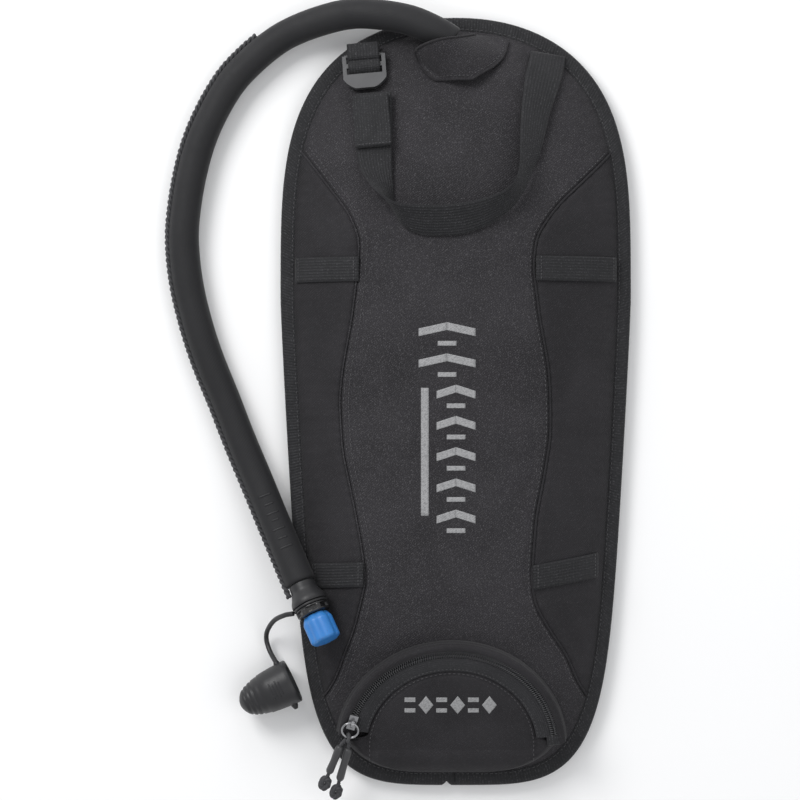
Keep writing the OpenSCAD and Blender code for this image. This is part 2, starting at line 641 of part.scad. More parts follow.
// A tube swept along points: sides round it, hollow when inner is more than 0
function unit(v) = v / norm(v);
function tangent(path, i) = unit(path[min(len(path) - 1, i + 1)] - path[max(0, i - 1)]);
function ring_points(path, i, r, sides) = let (
    t = tangent(path, i), across = unit(cross(t, [0, 0, 1])), up = cross(across, t)
  ) [for (k = [0 : sides - 1]) path[i] + r * (cos(360 * k / sides) * across + sin(360 * k / sides) * up)];
module swept_tube(path, r, sides, inner = 0) {
  m = len(path);
  n = m * sides;
  skins = inner > 0 ? 2 : 1;
  wall = function(base, out) [for (i = [0 : m - 2]) for (k = [0 : sides - 1])
    let (a = base + i * sides + k, b = base + i * sides + (k + 1) % sides, c = a + sides, d = b + sides)
    each out ? [[a, b, d], [a, d, c]] : [[a, d, b], [a, c, d]]];
  cap = function(i, first) inner > 0
    ? [for (k = [0 : sides - 1]) let (a = i * sides + k, b = i * sides + (k + 1) % sides)
        each first ? [[a, n + a, n + b], [a, n + b, b]] : [[a, n + b, n + a], [a, b, n + b]]]
    : [[for (k = [0 : sides - 1]) i * sides + (first ? sides - 1 - k : k)]];
  polyhedron(
    points = concat(
      [for (i = [0 : m - 1]) each ring_points(path, i, r, sides)],
      inner > 0 ? [for (i = [0 : m - 1]) each ring_points(path, i, inner, sides)] : []
    ),
    faces = concat(wall(0, true), skins > 1 ? wall(n, false) : [], cap(0, true), cap(m - 1, false))
  );
}
// Points between the hand-set ones, on a smooth curve through them
function blend4(a, b, c, d, t) = 0.5 * ((2 * b) + (c - a) * t + (2 * a - 5 * b + 4 * c - d) * t * t
  + (3 * b - a - 3 * c + d) * t * t * t);
function smooth(path, parts) = let (m = len(path)) concat(
  [for (i = [0 : m - 2]) for (k = [0 : parts - 1])
    blend4(path[max(0, i - 1)], path[i], path[i + 1], path[min(m - 1, i + 2)], k / parts)],
  [path[m - 1]]
);

// Tube inside the pouch, from the quick-release link to the port
INSIDE_ROUTE = [
  [79.5, -102, 13.6], [79.8, -80, 14], [82, -40, 15], [85, 0, 15], [86, 40, 15], [86, 80, 15], [84, 115, 15],
  [78, 145, 15], [70, 168, 15], [58, 186, 15], [45, 201, 15.5], [32, 213, 17], [20, 222, 21], [8, 230, 26],
  [-2, 236, 29.6]
];
// Hose outside the pouch, from the port over the edge, round on the floor and up to the valve
HOSE_ROUTE = [
  [-2, 236, 29.6], [-14, 243, 29.8], [-30, 250, 28], [-50, 254, 25], [-69, 255, 20], [-89, 251, 14.5],
  [-108, 244, 10.6], [-121, 236, 9.8], [-134, 225, 9.8], [-146, 212, 9.8], [-157, 194, 9.8],
  [-166, 174, 9.8], [-172, 153, 9.8], [-176, 130, 9.8], [-177.5, 108, 9.8], [-175, 82, 9.8],
  [-169, 56, 9.8], [-161, 31, 9.8], [-150, 4, 10], [-139, -24, 11.2], [-128, -50, 14.4], [-117, -76, 19.6],
  [-108, -97, 24.6], [-100.6, -114, 29]
];
module reservoir_tube() {
  color([0.6, 0.75, 0.9]) swept_tube(smooth(INSIDE_ROUTE, 2), tube_r, 10, tube_r - 1.2);
}
module drink_tube() {
  color([0.6, 0.75, 0.9]) swept_tube(smooth(HOSE_ROUTE, 2), tube_r, 8);
}
module tube_cover() {
  color([0.15, 0.15, 0.16]) swept_tube(smooth(HOSE_ROUTE, 2), hose_d / 2, 12, tube_r + 0.6);
}

// Valve group: everything turns about the line that leaves the hose's end
valve_at = HOSE_ROUTE[len(HOSE_ROUTE) - 1];
valve_dir = unit([0.4, -0.867, 0.27]);
boot_l = 15.2;
collar_gap = 1.8;
adapter_l = 5.4;
module at_valve(s) {
  translate(valve_at + valve_dir * s)
    rotate([0, acos(valve_dir[2]), atan2(valve_dir[1], valve_dir[0])]) children();
}
module valve_boot() {
  color([0.12, 0.12, 0.13]) at_valve(0.4) difference() {
    union() {
      cylinder(r = 8.6, h = 6);
      translate([0, 0, 6]) cylinder(r1 = 8.6, r2 = 12, h = 7);
      translate([0, 0, 13]) cylinder(r = 12, h = boot_l - 13);
    }
    translate([0, 0, -1]) cylinder(r = 5.2, h = boot_l + 2);
  }
}
ring_at = boot_l + collar_gap;
module valve_adapter() {
  color([0.3, 0.3, 0.31]) at_valve(0.6) difference() {
    union() {
      cylinder(r = 4.9, h = ring_at);
      translate([0, 0, boot_l + 0.1]) cylinder(r = 9.2, h = collar_gap);
      translate([0, 0, ring_at]) cylinder(r = 10.4, h = adapter_l);
      translate([0, 0, ring_at]) cylinder(r = 11.2, h = 1.2);
      translate([0, 0, ring_at + adapter_l - 1.2]) cylinder(r = 11.2, h = 1.2);
      translate([0, 0, ring_at + adapter_l]) cylinder(r = 4.9, h = 9);
    }
    translate([0, 0, -1]) cylinder(r = 3, h = 50);
  }
}
module bite_valve() {
  color([0.23, 0.52, 0.82]) at_valve(0.9 + ring_at + adapter_l) difference() {
    union() {
      cylinder(r1 = valve_d / 2 - 2.4, r2 = valve_d / 2, h = 4);
      translate([0, 0, 4]) cylinder(r = valve_d / 2, h = 13.6);
      translate([0, 0, 17.6]) cylinder(r1 = valve_d / 2, r2 = valve_d / 2 - 1.4, h = 1.4);
    }
    translate([0, 0, -1]) cylinder(r = 5.2, h = 12);
    translate([0, 0, 8]) cylinder(r = 3, h = 8);
    translate([-3.2, -0.5, 15]) cube([6.4, 1, 5]);
  }
}
// Valve cover on the floor, on a tether from a collar that turns on the boot
cover_at = [-106, -178.4, cover_d / 2 + 0.6];
cover_turn = 205.5;
cover_l = 38;
module at_cover() {
  translate(cover_at) rotate([0, 0, cover_turn]) rotate([0, 90, 0]) children();
}
module valve_cover() {
  color([0.12, 0.12, 0.13]) at_cover() difference() {
    union() {
      cylinder(r = cover_d / 2, h = 7);
      rotate_extrude() polygon([
        [0, 0], [13.4, 0], [13.4, 14], [12.6, 20], [12.6, 23], [11.4, 24], [11.4, 26], [10.8, 29],
        [9, 33.5], [6, 36.6], [2.4, cover_l], [0, cover_l]
      ]);
      rotate([0, 0, 90]) translate([12.4, 0, 6]) rotate([0, 90, 0]) cylinder(r = 3.4, h = 4.6);
    }
    translate([0, 0, -1]) cylinder(r = 11.4, h = 22);
    translate([0, 0, 20.99]) cylinder(r1 = 11.4, r2 = 6, h = 9);
  }
}
COVER_TETHER = [
  [-106, -134, 32.9], [-111, -135, 29.5], [-118, -139, 20], [-122.8, -146, 10.5], [-123.8, -152.5, 6],
  [-121.4, -160, 8.4], [-117, -167, 15]
];
module cover_tether() {
  color([0.12, 0.12, 0.13]) {
    at_valve(boot_l + 0.95) difference() {
      union() {
        cylinder(r = 11.4, h = 1.2);
        translate([-0.8, -14.4, 0]) cube([2.4, 3.9, 1.2]);
      }
      translate([0, 0, -1]) cylinder(r = 9.6, h = 6);
    }
    swept_tube(smooth(COVER_TETHER, 3), 1.6, 8);
  }
}

front_center_panel();
front_side_panel_left();
front_side_panel_right();
front_foam();
front_liner();
back_panel();
back_foam();
back_liner();
edge_binding();
tube_port_patch();
side_loop_upper_left();
side_loop_upper_right();
side_loop_lower_left();
side_loop_lower_right();
buckle_tab();
ladder_lock_buckle();
hang_strap_loop();
hang_strap_tail();
hang_strap_anchor();
pocket_panel();
pocket_gusset();
pocket_zip_tape_inner();
pocket_zip_tape_outer();
pocket_zip_coil_inner();
pocket_zip_coil_outer();
pocket_zip_slider();
pocket_pull_ring();
pocket_pull_cord();
pocket_pull_sleeves();
pocket_zip_end_tab();
back_zip_tape_upper();
back_zip_tape_lower();
back_zip_coil_upper();
back_zip_coil_lower();
back_zip_slider();
back_zip_pull();
reservoir_front_film();
reservoir_back_film();
fill_collar();
fill_cap();
fill_cap_gasket();
outlet_elbow();
quick_link_body();
quick_link_button();
quick_link_oring();
reservoir_tube();
drink_tube();
tube_cover();
valve_boot();
valve_adapter();
bite_valve();
cover_tether();
valve_cover();
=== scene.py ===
"""Visual model of an insulated hydration pouch with its hose, valve, strap and pocket."""
import json
import math

import bpy
import numpy as np
from mathutils import Euler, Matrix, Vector


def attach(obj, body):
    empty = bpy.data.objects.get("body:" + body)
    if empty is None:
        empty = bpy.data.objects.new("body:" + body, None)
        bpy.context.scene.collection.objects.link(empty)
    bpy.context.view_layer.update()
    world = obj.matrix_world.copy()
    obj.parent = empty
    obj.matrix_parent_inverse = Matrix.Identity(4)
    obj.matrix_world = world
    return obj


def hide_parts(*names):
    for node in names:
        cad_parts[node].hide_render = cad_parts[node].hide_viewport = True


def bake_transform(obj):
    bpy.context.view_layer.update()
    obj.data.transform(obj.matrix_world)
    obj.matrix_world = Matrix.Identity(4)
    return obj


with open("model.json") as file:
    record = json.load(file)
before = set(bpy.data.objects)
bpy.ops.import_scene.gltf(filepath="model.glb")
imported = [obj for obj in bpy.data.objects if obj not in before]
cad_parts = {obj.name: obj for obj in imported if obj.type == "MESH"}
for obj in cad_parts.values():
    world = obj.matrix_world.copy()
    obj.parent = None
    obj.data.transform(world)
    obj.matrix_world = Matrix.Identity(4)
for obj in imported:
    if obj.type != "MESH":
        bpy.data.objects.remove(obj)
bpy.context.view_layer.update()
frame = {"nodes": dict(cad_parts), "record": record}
NODES = frame["nodes"]
MM = 0.001
rng = np.random.RandomState(11)


# ---------------------------------------------------------------- camera, light, floor
def look_at(obj, target):
    direction = Vector(target) - obj.location
    obj.rotation_euler = direction.to_track_quat("-Z", "Y").to_euler()


camera_data = bpy.data.cameras.new("camera")
camera = bpy.data.objects.new("camera", camera_data)
bpy.context.scene.collection.objects.link(camera)
bpy.context.scene.camera = camera
camera.location = (-0.0364, 0.0042, 2.02)
camera.rotation_euler = (0, 0, 0)
camera_data.lens = 138.5
camera_data.sensor_width = 36
camera_data.clip_start = 0.1
camera_data.clip_end = 20


def area_light(name, place, target, size, energy):
    data = bpy.data.lights.new(name, "AREA")
    data.energy = energy
    data.size = size
    light = bpy.data.objects.new(name, data)
    bpy.context.scene.collection.objects.link(light)
    light.location = place
    look_at(light, target)


area_light("key", (-0.95, 1.0, 1.25), (-0.02, 0.0, 0.0), 0.8, 21)
area_light("fill", (0.9, -0.6, 1.6), (0.0, 0.0, 0.0), 1.6, 7)
area_light("back", (0.1, 1.9, 0.9), (0.0, 0.0, 0.0), 1.2, 7)

world = bpy.data.worlds.new("studio")
bpy.context.scene.world = world
world.use_nodes = True
world.node_tree.nodes["Background"].inputs["Color"].default_value = (0.97, 0.98, 1.0, 1)
world.node_tree.nodes["Background"].inputs["Strength"].default_value = 0.62
bpy.context.scene.view_settings.view_transform = "Standard"
bpy.context.scene.view_settings.look = "None"
bpy.context.scene.view_settings.exposure = 0.0


# ---------------------------------------------------------------- shader helpers
class Shader:
    """A principled material with helpers that add procedural nodes in object space."""

    def __init__(self, name, colour, rough=0.6, metal=0.0, **sockets):
        self.mat = bpy.data.materials.new(name)
        self.mat.use_nodes = True
        self.tree = self.mat.node_tree
        self.bsdf = next(n for n in self.tree.nodes if n.type == "BSDF_PRINCIPLED")
        self.set("Base Color", (*colour, 1))
        self.set("Roughness", rough)
        self.set("Metallic", metal)
        for key, value in sockets.items():
            self.set(key.replace("_", " "), value)
        self.place = self.node("ShaderNodeTexCoord").outputs["Object"]
        self.normal = None

    def set(self, socket, value):
        self.bsdf.inputs[socket].default_value = value

    def node(self, kind, **sets):
        made = self.tree.nodes.new(kind)
        for key, value in sets.items():
            setattr(made, key, value)
        return made

    def link(self, out, into):
        self.tree.links.new(out, into)

    def lay(self):
        """Coordinates stored on the mesh: millimetres along, and across, a strip."""
        return self.node("ShaderNodeAttribute", attribute_name="lay").outputs["Vector"]

    def mapped(self, vector, scale=(1, 1, 1), angle=0.0):
        made = self.node("ShaderNodeMapping")
        made.inputs["Scale"].default_value = scale
        made.inputs["Rotation"].default_value = (0, 0, math.radians(angle))
        self.link(vector, made.inputs["Vector"])
        return made.outputs["Vector"]

    def noise(self, scale, detail=2.0, rough=0.5, vector=None):
        made = self.node("ShaderNodeTexNoise")
        made.inputs["Scale"].default_value = scale
        made.inputs["Detail"].default_value = detail
        made.inputs["Roughness"].default_value = rough
        self.link(vector or self.place, made.inputs["Vector"])
        return made.outputs["Fac"]

    def cells(self, scale, vector=None):
        made = self.node("ShaderNodeTexVoronoi")
        made.inputs["Scale"].default_value = scale
        self.link(vector or self.place, made.inputs["Vector"])
        return made.outputs["Distance"]

    def wave(self, period, angle=0.0, vector=None, metres=True, distortion=0.0):
        """Parallel bands with that period across the direction at angle."""
        made = self.node("ShaderNodeTexWave", wave_type="BANDS", bands_direction="X")
        made.inputs["Scale"].default_value = 2 * math.pi / (20 * period * (MM if metres else 1))
        made.inputs["Distortion"].default_value = distortion
        self.link(self.mapped(vector or self.place, angle=angle), made.inputs["Vector"])
        return made.outputs["Fac"]

    def maths(self, kind, a, b):
        made = self.node("ShaderNodeMath", operation=kind)
        for k, value in enumerate((a, b)):
            if isinstance(value, (int, float)):
                made.inputs[k].default_value = value
            else:
                self.link(value, made.inputs[k])
        return made.outputs["Value"]

    def ramp(self, factor, low, high):
        """0 below low, 1 above high, smooth between."""
        made = self.node("ShaderNodeMapRange", interpolation_type="SMOOTHSTEP")
        made.inputs["From Min"].default_value = low
        made.inputs["From Max"].default_value = high
        self.link(factor, made.inputs["Value"])
        return made.outputs["Result"]

    def mix(self, factor, a, b):
        made = self.node("ShaderNodeMix", data_type="RGBA")
        self.link(factor, made.inputs["Factor"])
        for name, value in (("A", a), ("B", b)):
            socket = next(s for s in made.inputs if s.name == name and s.type == "RGBA")
            if isinstance(value, tuple):
                socket.default_value = (*value, 1)
            else:
                self.link(value, socket)
        return next(s for s in made.outputs if s.type == "RGBA")

    def colour(self, out):
        self.link(out, self.bsdf.inputs["Base Color"])

    def roughness(self, factor, low, high):
        made = self.node("ShaderNodeMapRange")
        made.inputs["To Min"].default_value = low
        made.inputs["To Max"].default_value = high
        self.link(factor, made.inputs["Value"])
        self.link(made.outputs["Result"], self.bsdf.inputs["Roughness"])

    def bump(self, height, depth, strength=1.0):
        made = self.node("ShaderNodeBump")
        made.inputs["Strength"].default_value = strength
        made.inputs["Distance"].default_value = depth * MM
        self.link(height, made.inputs["Height"])
        if self.normal is not None:
            self.link(self.normal, made.inputs["Normal"])
        self.normal = made.outputs["Normal"]
        self.link(self.normal, self.bsdf.inputs["Normal"])


def scaled(colour, k):
    return tuple(min(1.0, c * k) for c in colour)


def woven(name, colour, light, grain=1900, angle=52, speck=(0.50, 0.72), share=0.5, rough=0.8, sheen=0.05):
    """Woven polyester: a diagonal twill with light flecks, uneven dye and a soft sheen."""
    s = Shader(name, colour, rough, Sheen_Weight=sheen, Sheen_Roughness=0.45, Specular_IOR_Level=0.2)
    slant = s.mapped(s.place, (1, 0.6, 1), angle)
    flecks = s.ramp(s.noise(grain, 1.5, 0.6, slant), *speck)
    twill = s.wave(1.25, angle, distortion=1.2)
    cross = s.wave(1.05, angle - 90, distortion=0.6)
    cloud = s.noise(22, 3.0, 0.55)
    base = s.mix(s.ramp(cloud, 0.3, 0.7), scaled(colour, 0.84), scaled(colour, 1.18))
    fleck = s.maths("MULTIPLY", flecks, share)
    fleck = s.maths("MULTIPLY", fleck, s.maths("ADD", s.maths("MULTIPLY", twill, 0.65), 0.45))
    s.colour(s.mix(fleck, base, light))
    s.roughness(s.noise(300, 2.0), rough - 0.1, rough + 0.1)
    s.bump(s.maths("ADD", s.maths("MULTIPLY", twill, 0.6), s.maths("MULTIPLY", cross, 0.4)), 0.22, 0.7)
    s.bump(s.noise(1500, 2.0, 0.6, slant), 0.16, 0.6)
    return s.mat


def ribbed(name, colour, light, rib=1.9, pick=1.15, rough=0.72, sheen=0.06):
    """Webbing or grosgrain on a strip: ribs along or across it, and fine picks."""
    s = Shader(name, colour, rough, Sheen_Weight=sheen, Sheen_Roughness=0.4, Specular_IOR_Level=0.22)
    strip = s.lay()
    ribs = s.wave(rib, 90, strip, metres=False, distortion=0.5)
    picks = s.wave(pick, 0, strip, metres=False, distortion=0.8)
    fuzz = s.noise(1300, 2.0, 0.6)
    cloud = s.noise(60, 3.0)
    base = s.mix(cloud, scaled(colour, 0.75), scaled(colour, 1.3))
    s.colour(s.mix(s.maths("MULTIPLY", s.ramp(fuzz, 0.5, 0.75), s.maths("MULTIPLY", ribs, 0.8)), base, light))
    s.bump(s.maths("ADD", ribs, s.maths("MULTIPLY", picks, 0.6)), 0.25, 0.8)
    s.bump(fuzz, 0.1, 0.5)
    return s.mat


def moulded(name, colour, rough=0.4, grain=900, depth=0.03, wear=None, **sockets):
    """Moulded plastic or rubber: fine texture, slight colour drift, uneven gloss."""
    s = Shader(name, colour, rough, **sockets)
    cloud = s.noise(45, 4.0, 0.6)
    s.colour(s.mix(cloud, scaled(colour, 0.86), wear or scaled(colour, 1.16)))
    s.roughness(s.noise(130, 4.0, 0.65), max(0.05, rough - 0.1), min(1.0, rough + 0.12))
    s.bump(s.noise(grain, 3.0, 0.6), depth, 0.6)
    return s.mat


CHARCOAL = (0.0225, 0.0212, 0.0236)
MATERIALS = {
    "panel_fabric": woven("panel_fabric", CHARCOAL, (0.135, 0.131, 0.139)),
    "side_fabric": woven(
        "side_fabric", (0.0195, 0.0185, 0.0205), (0.075, 0.073, 0.078), 2000, 48, (0.53, 0.76), 0.5,
    ),
    "back_fabric": woven(
        "back_fabric", (0.018, 0.018, 0.020), (0.06, 0.06, 0.064), 1700, 45, (0.5, 0.8), 0.5,
    ),
    "webbing": ribbed("webbing", (0.0175, 0.0175, 0.019), (0.085, 0.085, 0.09)),
    "zip_tape": ribbed("zip_tape", (0.023, 0.023, 0.025), (0.08, 0.08, 0.085), 1.2, 0.9),
    "foam": moulded("foam", (0.16, 0.16, 0.165), 0.85, 700, 0.3),
    "buckle_plastic": moulded(
        "buckle_plastic", (0.052, 0.052, 0.055), 0.30, 1400, 0.02, Specular_IOR_Level=0.6,
    ),
    "zip_coil": moulded("zip_coil", (0.050, 0.050, 0.053), 0.30, 2500, 0.02),
    "slider_metal": moulded(
        "slider_metal", (0.30, 0.30, 0.31), 0.27, 1800, 0.02, (0.42, 0.42, 0.43), Metallic=0.9,
    ),
    "pull_cord": moulded("pull_cord", (0.022, 0.022, 0.024), 0.75, 2600, 0.2, (0.07, 0.07, 0.075)),
    "pull_sleeve": moulded("pull_sleeve", (0.040, 0.040, 0.042), 0.42, 1500, 0.05),
    "cap_plastic": moulded("cap_plastic", (0.03, 0.13, 0.38), 0.35),
    "seal_rubber": moulded("seal_rubber", (0.25, 0.25, 0.26), 0.6),
    "link_plastic": moulded("link_plastic", (0.42, 0.44, 0.46), 0.38),
    "boot_rubber": moulded("boot_rubber", (0.021, 0.021, 0.0225), 0.42, 1800, 0.03, Specular_IOR_Level=0.36),
    "fitting_black": moulded(
        "fitting_black", (0.014, 0.014, 0.015), 0.16, 2200, 0.01, Specular_IOR_Level=0.7,
    ),
    "valve_silicone": moulded(
        "valve_silicone", (0.026, 0.165, 0.48), 0.36, 1600, 0.02, (0.045, 0.23, 0.60),
        Subsurface_Weight=0.08, Specular_IOR_Level=0.45,
    ),
    "bag_film": moulded("bag_film", (0.45, 0.62, 0.78), 0.22, 500, 0.05, Transmission_Weight=0.55),
    "tube_plastic": moulded("tube_plastic", (0.55, 0.66, 0.75), 0.25, 700, 0.02, Transmission_Weight=0.5),
}


def liner_film():
    s = Shader("liner", (0.62, 0.63, 0.65), 0.24, 0.85)
    crinkle = s.noise(120, 5.0, 0.7)
    s.colour(s.mix(crinkle, (0.45, 0.46, 0.48), (0.78, 0.79, 0.81)))
    s.roughness(s.noise(60, 4.0), 0.16, 0.42)
    s.bump(crinkle, 0.8, 0.8)
    s.bump(s.cells(90), 0.3, 0.5)
    return s.mat


def knit_cover():
    """Neoprene hose cover: a smooth fine knit with faint ribs along it."""
    s = Shader("hose_cover", (0.0165, 0.0165, 0.018), 0.62, Sheen_Weight=0.07, Sheen_Roughness=0.4,
               Specular_IOR_Level=0.24)
    strip = s.lay()
    ribs = s.wave(0.95, 90, strip, metres=False)
    rows = s.wave(0.8, 0, strip, metres=False)
    cloud = s.noise(40, 3.0)
    s.colour(s.mix(cloud, (0.0135, 0.0135, 0.0148), (0.0195, 0.0195, 0.021)))
    s.roughness(s.noise(220, 3.0), 0.52, 0.72)
    s.bump(s.maths("ADD", ribs, s.maths("MULTIPLY", rows, 0.5)), 0.07, 0.7)
    s.bump(s.noise(1800, 2.0), 0.05, 0.6)
    return s.mat


def print_ink():
    s = Shader("print_ink", (0.27, 0.27, 0.275), 0.55, Specular_IOR_Level=0.4)
    s.colour(s.mix(s.ramp(s.noise(900, 2.0, 0.6), 0.3, 0.6), (0.20, 0.20, 0.205), (0.30, 0.30, 0.305)))
    s.bump(s.wave(1.25, 52, distortion=1.2), 0.12, 0.6)
    s.bump(s.noise(1500, 2.0), 0.1, 0.6)
    return s.mat


def thread():
    s = Shader("thread", (0.035, 0.034, 0.037), 0.5, Sheen_Weight=0.1)
    s.colour(s.mix(s.noise(700, 2.0), (0.020, 0.020, 0.022), (0.075, 0.073, 0.078)))
    s.bump(s.noise(3500, 2.0), 0.05, 0.8)
    return s.mat


MATERIALS["liner"] = liner_film()
MATERIALS["hose_cover"] = knit_cover()
INK = print_ink()
THREAD = thread()

floor_shader = Shader("floor", (0.90, 0.90, 0.90), 0.7, Specular_IOR_Level=0.2)
floor_cloud = floor_shader.noise(3, 2.0)
floor_shader.colour(floor_shader.mix(floor_cloud, (0.885, 0.885, 0.885), (0.915, 0.915, 0.915)))
floor_shader.bump(floor_shader.noise(250, 3.0), 0.05, 0.2)


# ---------------------------------------------------------------- mesh helpers, in millimetres
def made_object(name, points, faces, finish, slot=None, lay=None, smooth=True):
    """A mesh in a finish: a slot's name, whose material it takes, or a material."""
    if isinstance(finish, str):
        slot, finish = slot or finish, MATERIALS[finish]
    mesh = bpy.data.meshes.new(name)
    points = np.asarray(points, float).reshape(-1, 3) * MM
    mesh.from_pydata(points.tolist(), [], [list(map(int, f)) for f in faces])
    mesh.validate()
    mesh.polygons.foreach_set("use_smooth", [smooth] * len(mesh.polygons))
    if lay is not None:
        attribute = mesh.attributes.new("lay", "FLOAT_VECTOR", "POINT")
        attribute.data.foreach_set("vector", np.asarray(lay, np.float32).reshape(-1))
    obj = bpy.data.objects.new(name, mesh)
    bpy.context.scene.collection.objects.link(obj)
    mesh.materials.append(finish)
    return obj


def settled(obj, body="root", nodes=()):
    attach(obj, body)
    if nodes:
        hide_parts(*nodes)
    return obj


def joined(objs, name):
    """Several objects made into one."""
    bpy.ops.object.select_all(action="DESELECT")
    for o in objs:
        o.select_set(True)
    bpy.context.view_layer.objects.active = objs[0]
    bpy.ops.object.join()
    objs[0].name = name
    objs[0].data.name = name
    return objs[0]


def bevelled(obj, width, segments=2, angle=35):
    made = obj.modifiers.new("edge", "BEVEL")
    made.width = width * MM
    made.segments = segments
    made.limit_method = "ANGLE"
    made.angle_limit = math.radians(angle)
    made.harden_normals = False
    for p in obj.data.polygons:
        p.use_smooth = True
    soft = obj.modifiers.new("soft", "WEIGHTED_NORMAL")
    soft.keep_sharp = True


def cell_faces(ni, nj, wrap=False, keep=None):
    """Quads over a grid, counter-clockwise seen from the side of j x i."""
    i, j = np.meshgrid(np.arange(ni - 1), np.arange(nj if wrap else nj - 1), indexing="ij")
    if keep is not None:
        i, j = i[keep], j[keep]
    i, j = i.ravel(), j.ravel()
    k = (j + 1) % nj
    return np.stack([i * nj + j, i * nj + k, (i + 1) * nj + k, (i + 1) * nj + j], 1)


def grid_normals(p):
    """Unit normals of a grid of points, on the side of j x i."""
    di = np.gradient(p, axis=0)
    dj = np.gradient(p, axis=1)
    n = np.cross(dj, di)
    return n / np.maximum(1e-9, np.linalg.norm(n, axis=2, keepdims=True))


def shell(name, top, under, finish, slot=None, keep=None, lay=None):
    """A closed layer between two grids of points."""
    ni, nj = top.shape[:2]
    n = ni * nj
    quads = cell_faces(ni, nj, keep=keep)
    edges = np.concatenate([quads[:, [a, (a + 1) % 4]] for a in range(4)])
    key = np.sort(edges, 1) @ np.array([n, 1])
    _, index, count = np.unique(key, return_index=True, return_counts=True)
    rim = edges[index[count == 1]]
    faces = quads.tolist() + (quads[:, ::-1] + n).tolist()
    faces += np.stack([rim[:, 1], rim[:, 0], rim[:, 0] + n, rim[:, 1] + n], 1).tolist()
    points = np.concatenate([top.reshape(-1, 3), under.reshape(-1, 3)])
    if lay is not None:
        lay = np.concatenate([lay.reshape(-1, 3)] * 2)
    used = np.unique(np.concatenate([quads.ravel(), quads.ravel() + n]))
    back = np.full(2 * n, -1)
    back[used] = np.arange(len(used))
    faces = [[back[v] for v in f] for f in faces]
    return made_object(name, points[used], faces, finish, slot, None if lay is None else lay[used])


def catmull(points, parts):
    p = np.asarray(points, float)
    q = np.concatenate([[2 * p[0] - p[1]], p, [2 * p[-1] - p[-2]]])
    out = []
    for i in range(len(p) - 1):
        a, b, c, d = q[i], q[i + 1], q[i + 2], q[i + 3]
        for k in range(parts):
            t = k / parts
            out.append(0.5 * (2 * b + (c - a) * t + (2 * a - 5 * b + 4 * c - d) * t ** 2
                              + (3 * b - a - 3 * c + d) * t ** 3))
    out.append(p[-1])
    return np.array(out)


def arc_lengths(p):
    return np.concatenate([[0], np.cumsum(np.linalg.norm(np.diff(p, axis=0), axis=1))])


def resample(points, step, smooth=True):
    p = catmull(points, 16) if smooth else np.asarray(points, float)
    s = arc_lengths(p)
    at = np.linspace(0, s[-1], max(2, int(round(s[-1] / step)) + 1))
    return np.stack([np.interp(at, s, p[:, k]) for k in range(p.shape[1])], 1)


def frames(path, up=(0, 0, 1), closed=False):
    """Unit tangent, side and up along a path; the side is turned as little as it can be."""
    t = np.gradient(path, axis=0)
    if closed:
        t = (np.roll(path, -1, 0) - np.roll(path, 1, 0))
    t /= np.linalg.norm(t, axis=1, keepdims=True)
    side = np.cross(t[0], up)
    if np.linalg.norm(side) < 1e-3:
        side = np.cross(t[0], (0, 1, 0))
    sides = []
    for v in t:
        side = side - v * (side @ v)
        side = side / np.linalg.norm(side)
        sides.append(side)
    sides = np.array(sides)
    return t, sides, np.cross(sides, t)


def tube(name, path, radius, sides, finish, slot=None, up=(0, 0, 1), closed=False):
    """A round tube along a path; radius is one number, one per point, or one per point and side."""
    path = np.asarray(path, float)
    n = len(path)
    t, a, b = frames(path, up, closed)
    angle = 2 * math.pi * np.arange(sides) / sides
    r = np.broadcast_to(np.asarray(radius, float).reshape((-1, 1)) if np.ndim(radius) == 1
                        else np.asarray(radius, float), (n, sides))
    ring = path[:, None] + r[..., None] * (np.cos(angle)[None, :, None] * a[:, None]
                                           + np.sin(angle)[None, :, None] * b[:, None])
    s = arc_lengths(path)
    lay = np.stack([np.broadcast_to(s[:, None], (n, sides)),
                    np.broadcast_to(np.mean(r) * angle[None], (n, sides)), np.zeros((n, sides))], 2)
    if closed:
        ring = np.concatenate([ring, ring[:1]])
        faces = cell_faces(n + 1, sides, wrap=True) % (n * sides)
        ring = ring[:n]
        return made_object(name, ring, faces[:, ::-1].tolist(), finish, slot, lay)
    faces = cell_faces(n, sides, wrap=True)[:, ::-1].tolist()
    faces.append(list(range(sides)))
    faces.append(list(range((n - 1) * sides, n * sides))[::-1])
    return made_object(name, ring, faces, finish, slot, lay)


def lathe(name, profile, origin, axis, finish, slot=None, segments=96, radial=None, up=(0, 0, 1)):
    """A closed profile of (along, radius) turned about an axis. radial(angle, along, r) may change r."""
    axis = np.array(axis, float) / np.linalg.norm(axis)
    side = np.cross(axis, up)
    side /= np.linalg.norm(side)
    other = np.cross(side, axis)
    angle = 2 * math.pi * np.arange(segments) / segments
    prof = np.asarray(profile, float)
    s = prof[:, 0][:, None] + 0 * angle[None]
    r = prof[:, 1][:, None] + 0 * angle[None]
    if radial is not None:
        r = radial(angle[None], s, r)
    p = (np.array(origin)[None, None] + s[..., None] * axis
         + (r * np.cos(angle))[..., None] * side + (r * np.sin(angle))[..., None] * other)
    n, m = r.shape
    faces = cell_faces(n, m, wrap=True)[:, ::-1].tolist()
    j, k, last = np.arange(m), np.roll(np.arange(m), -1), (n - 1) * m
    faces += np.stack([j, k, last + k, last + j], 1).tolist()
    return made_object(name, p, faces, finish, slot)


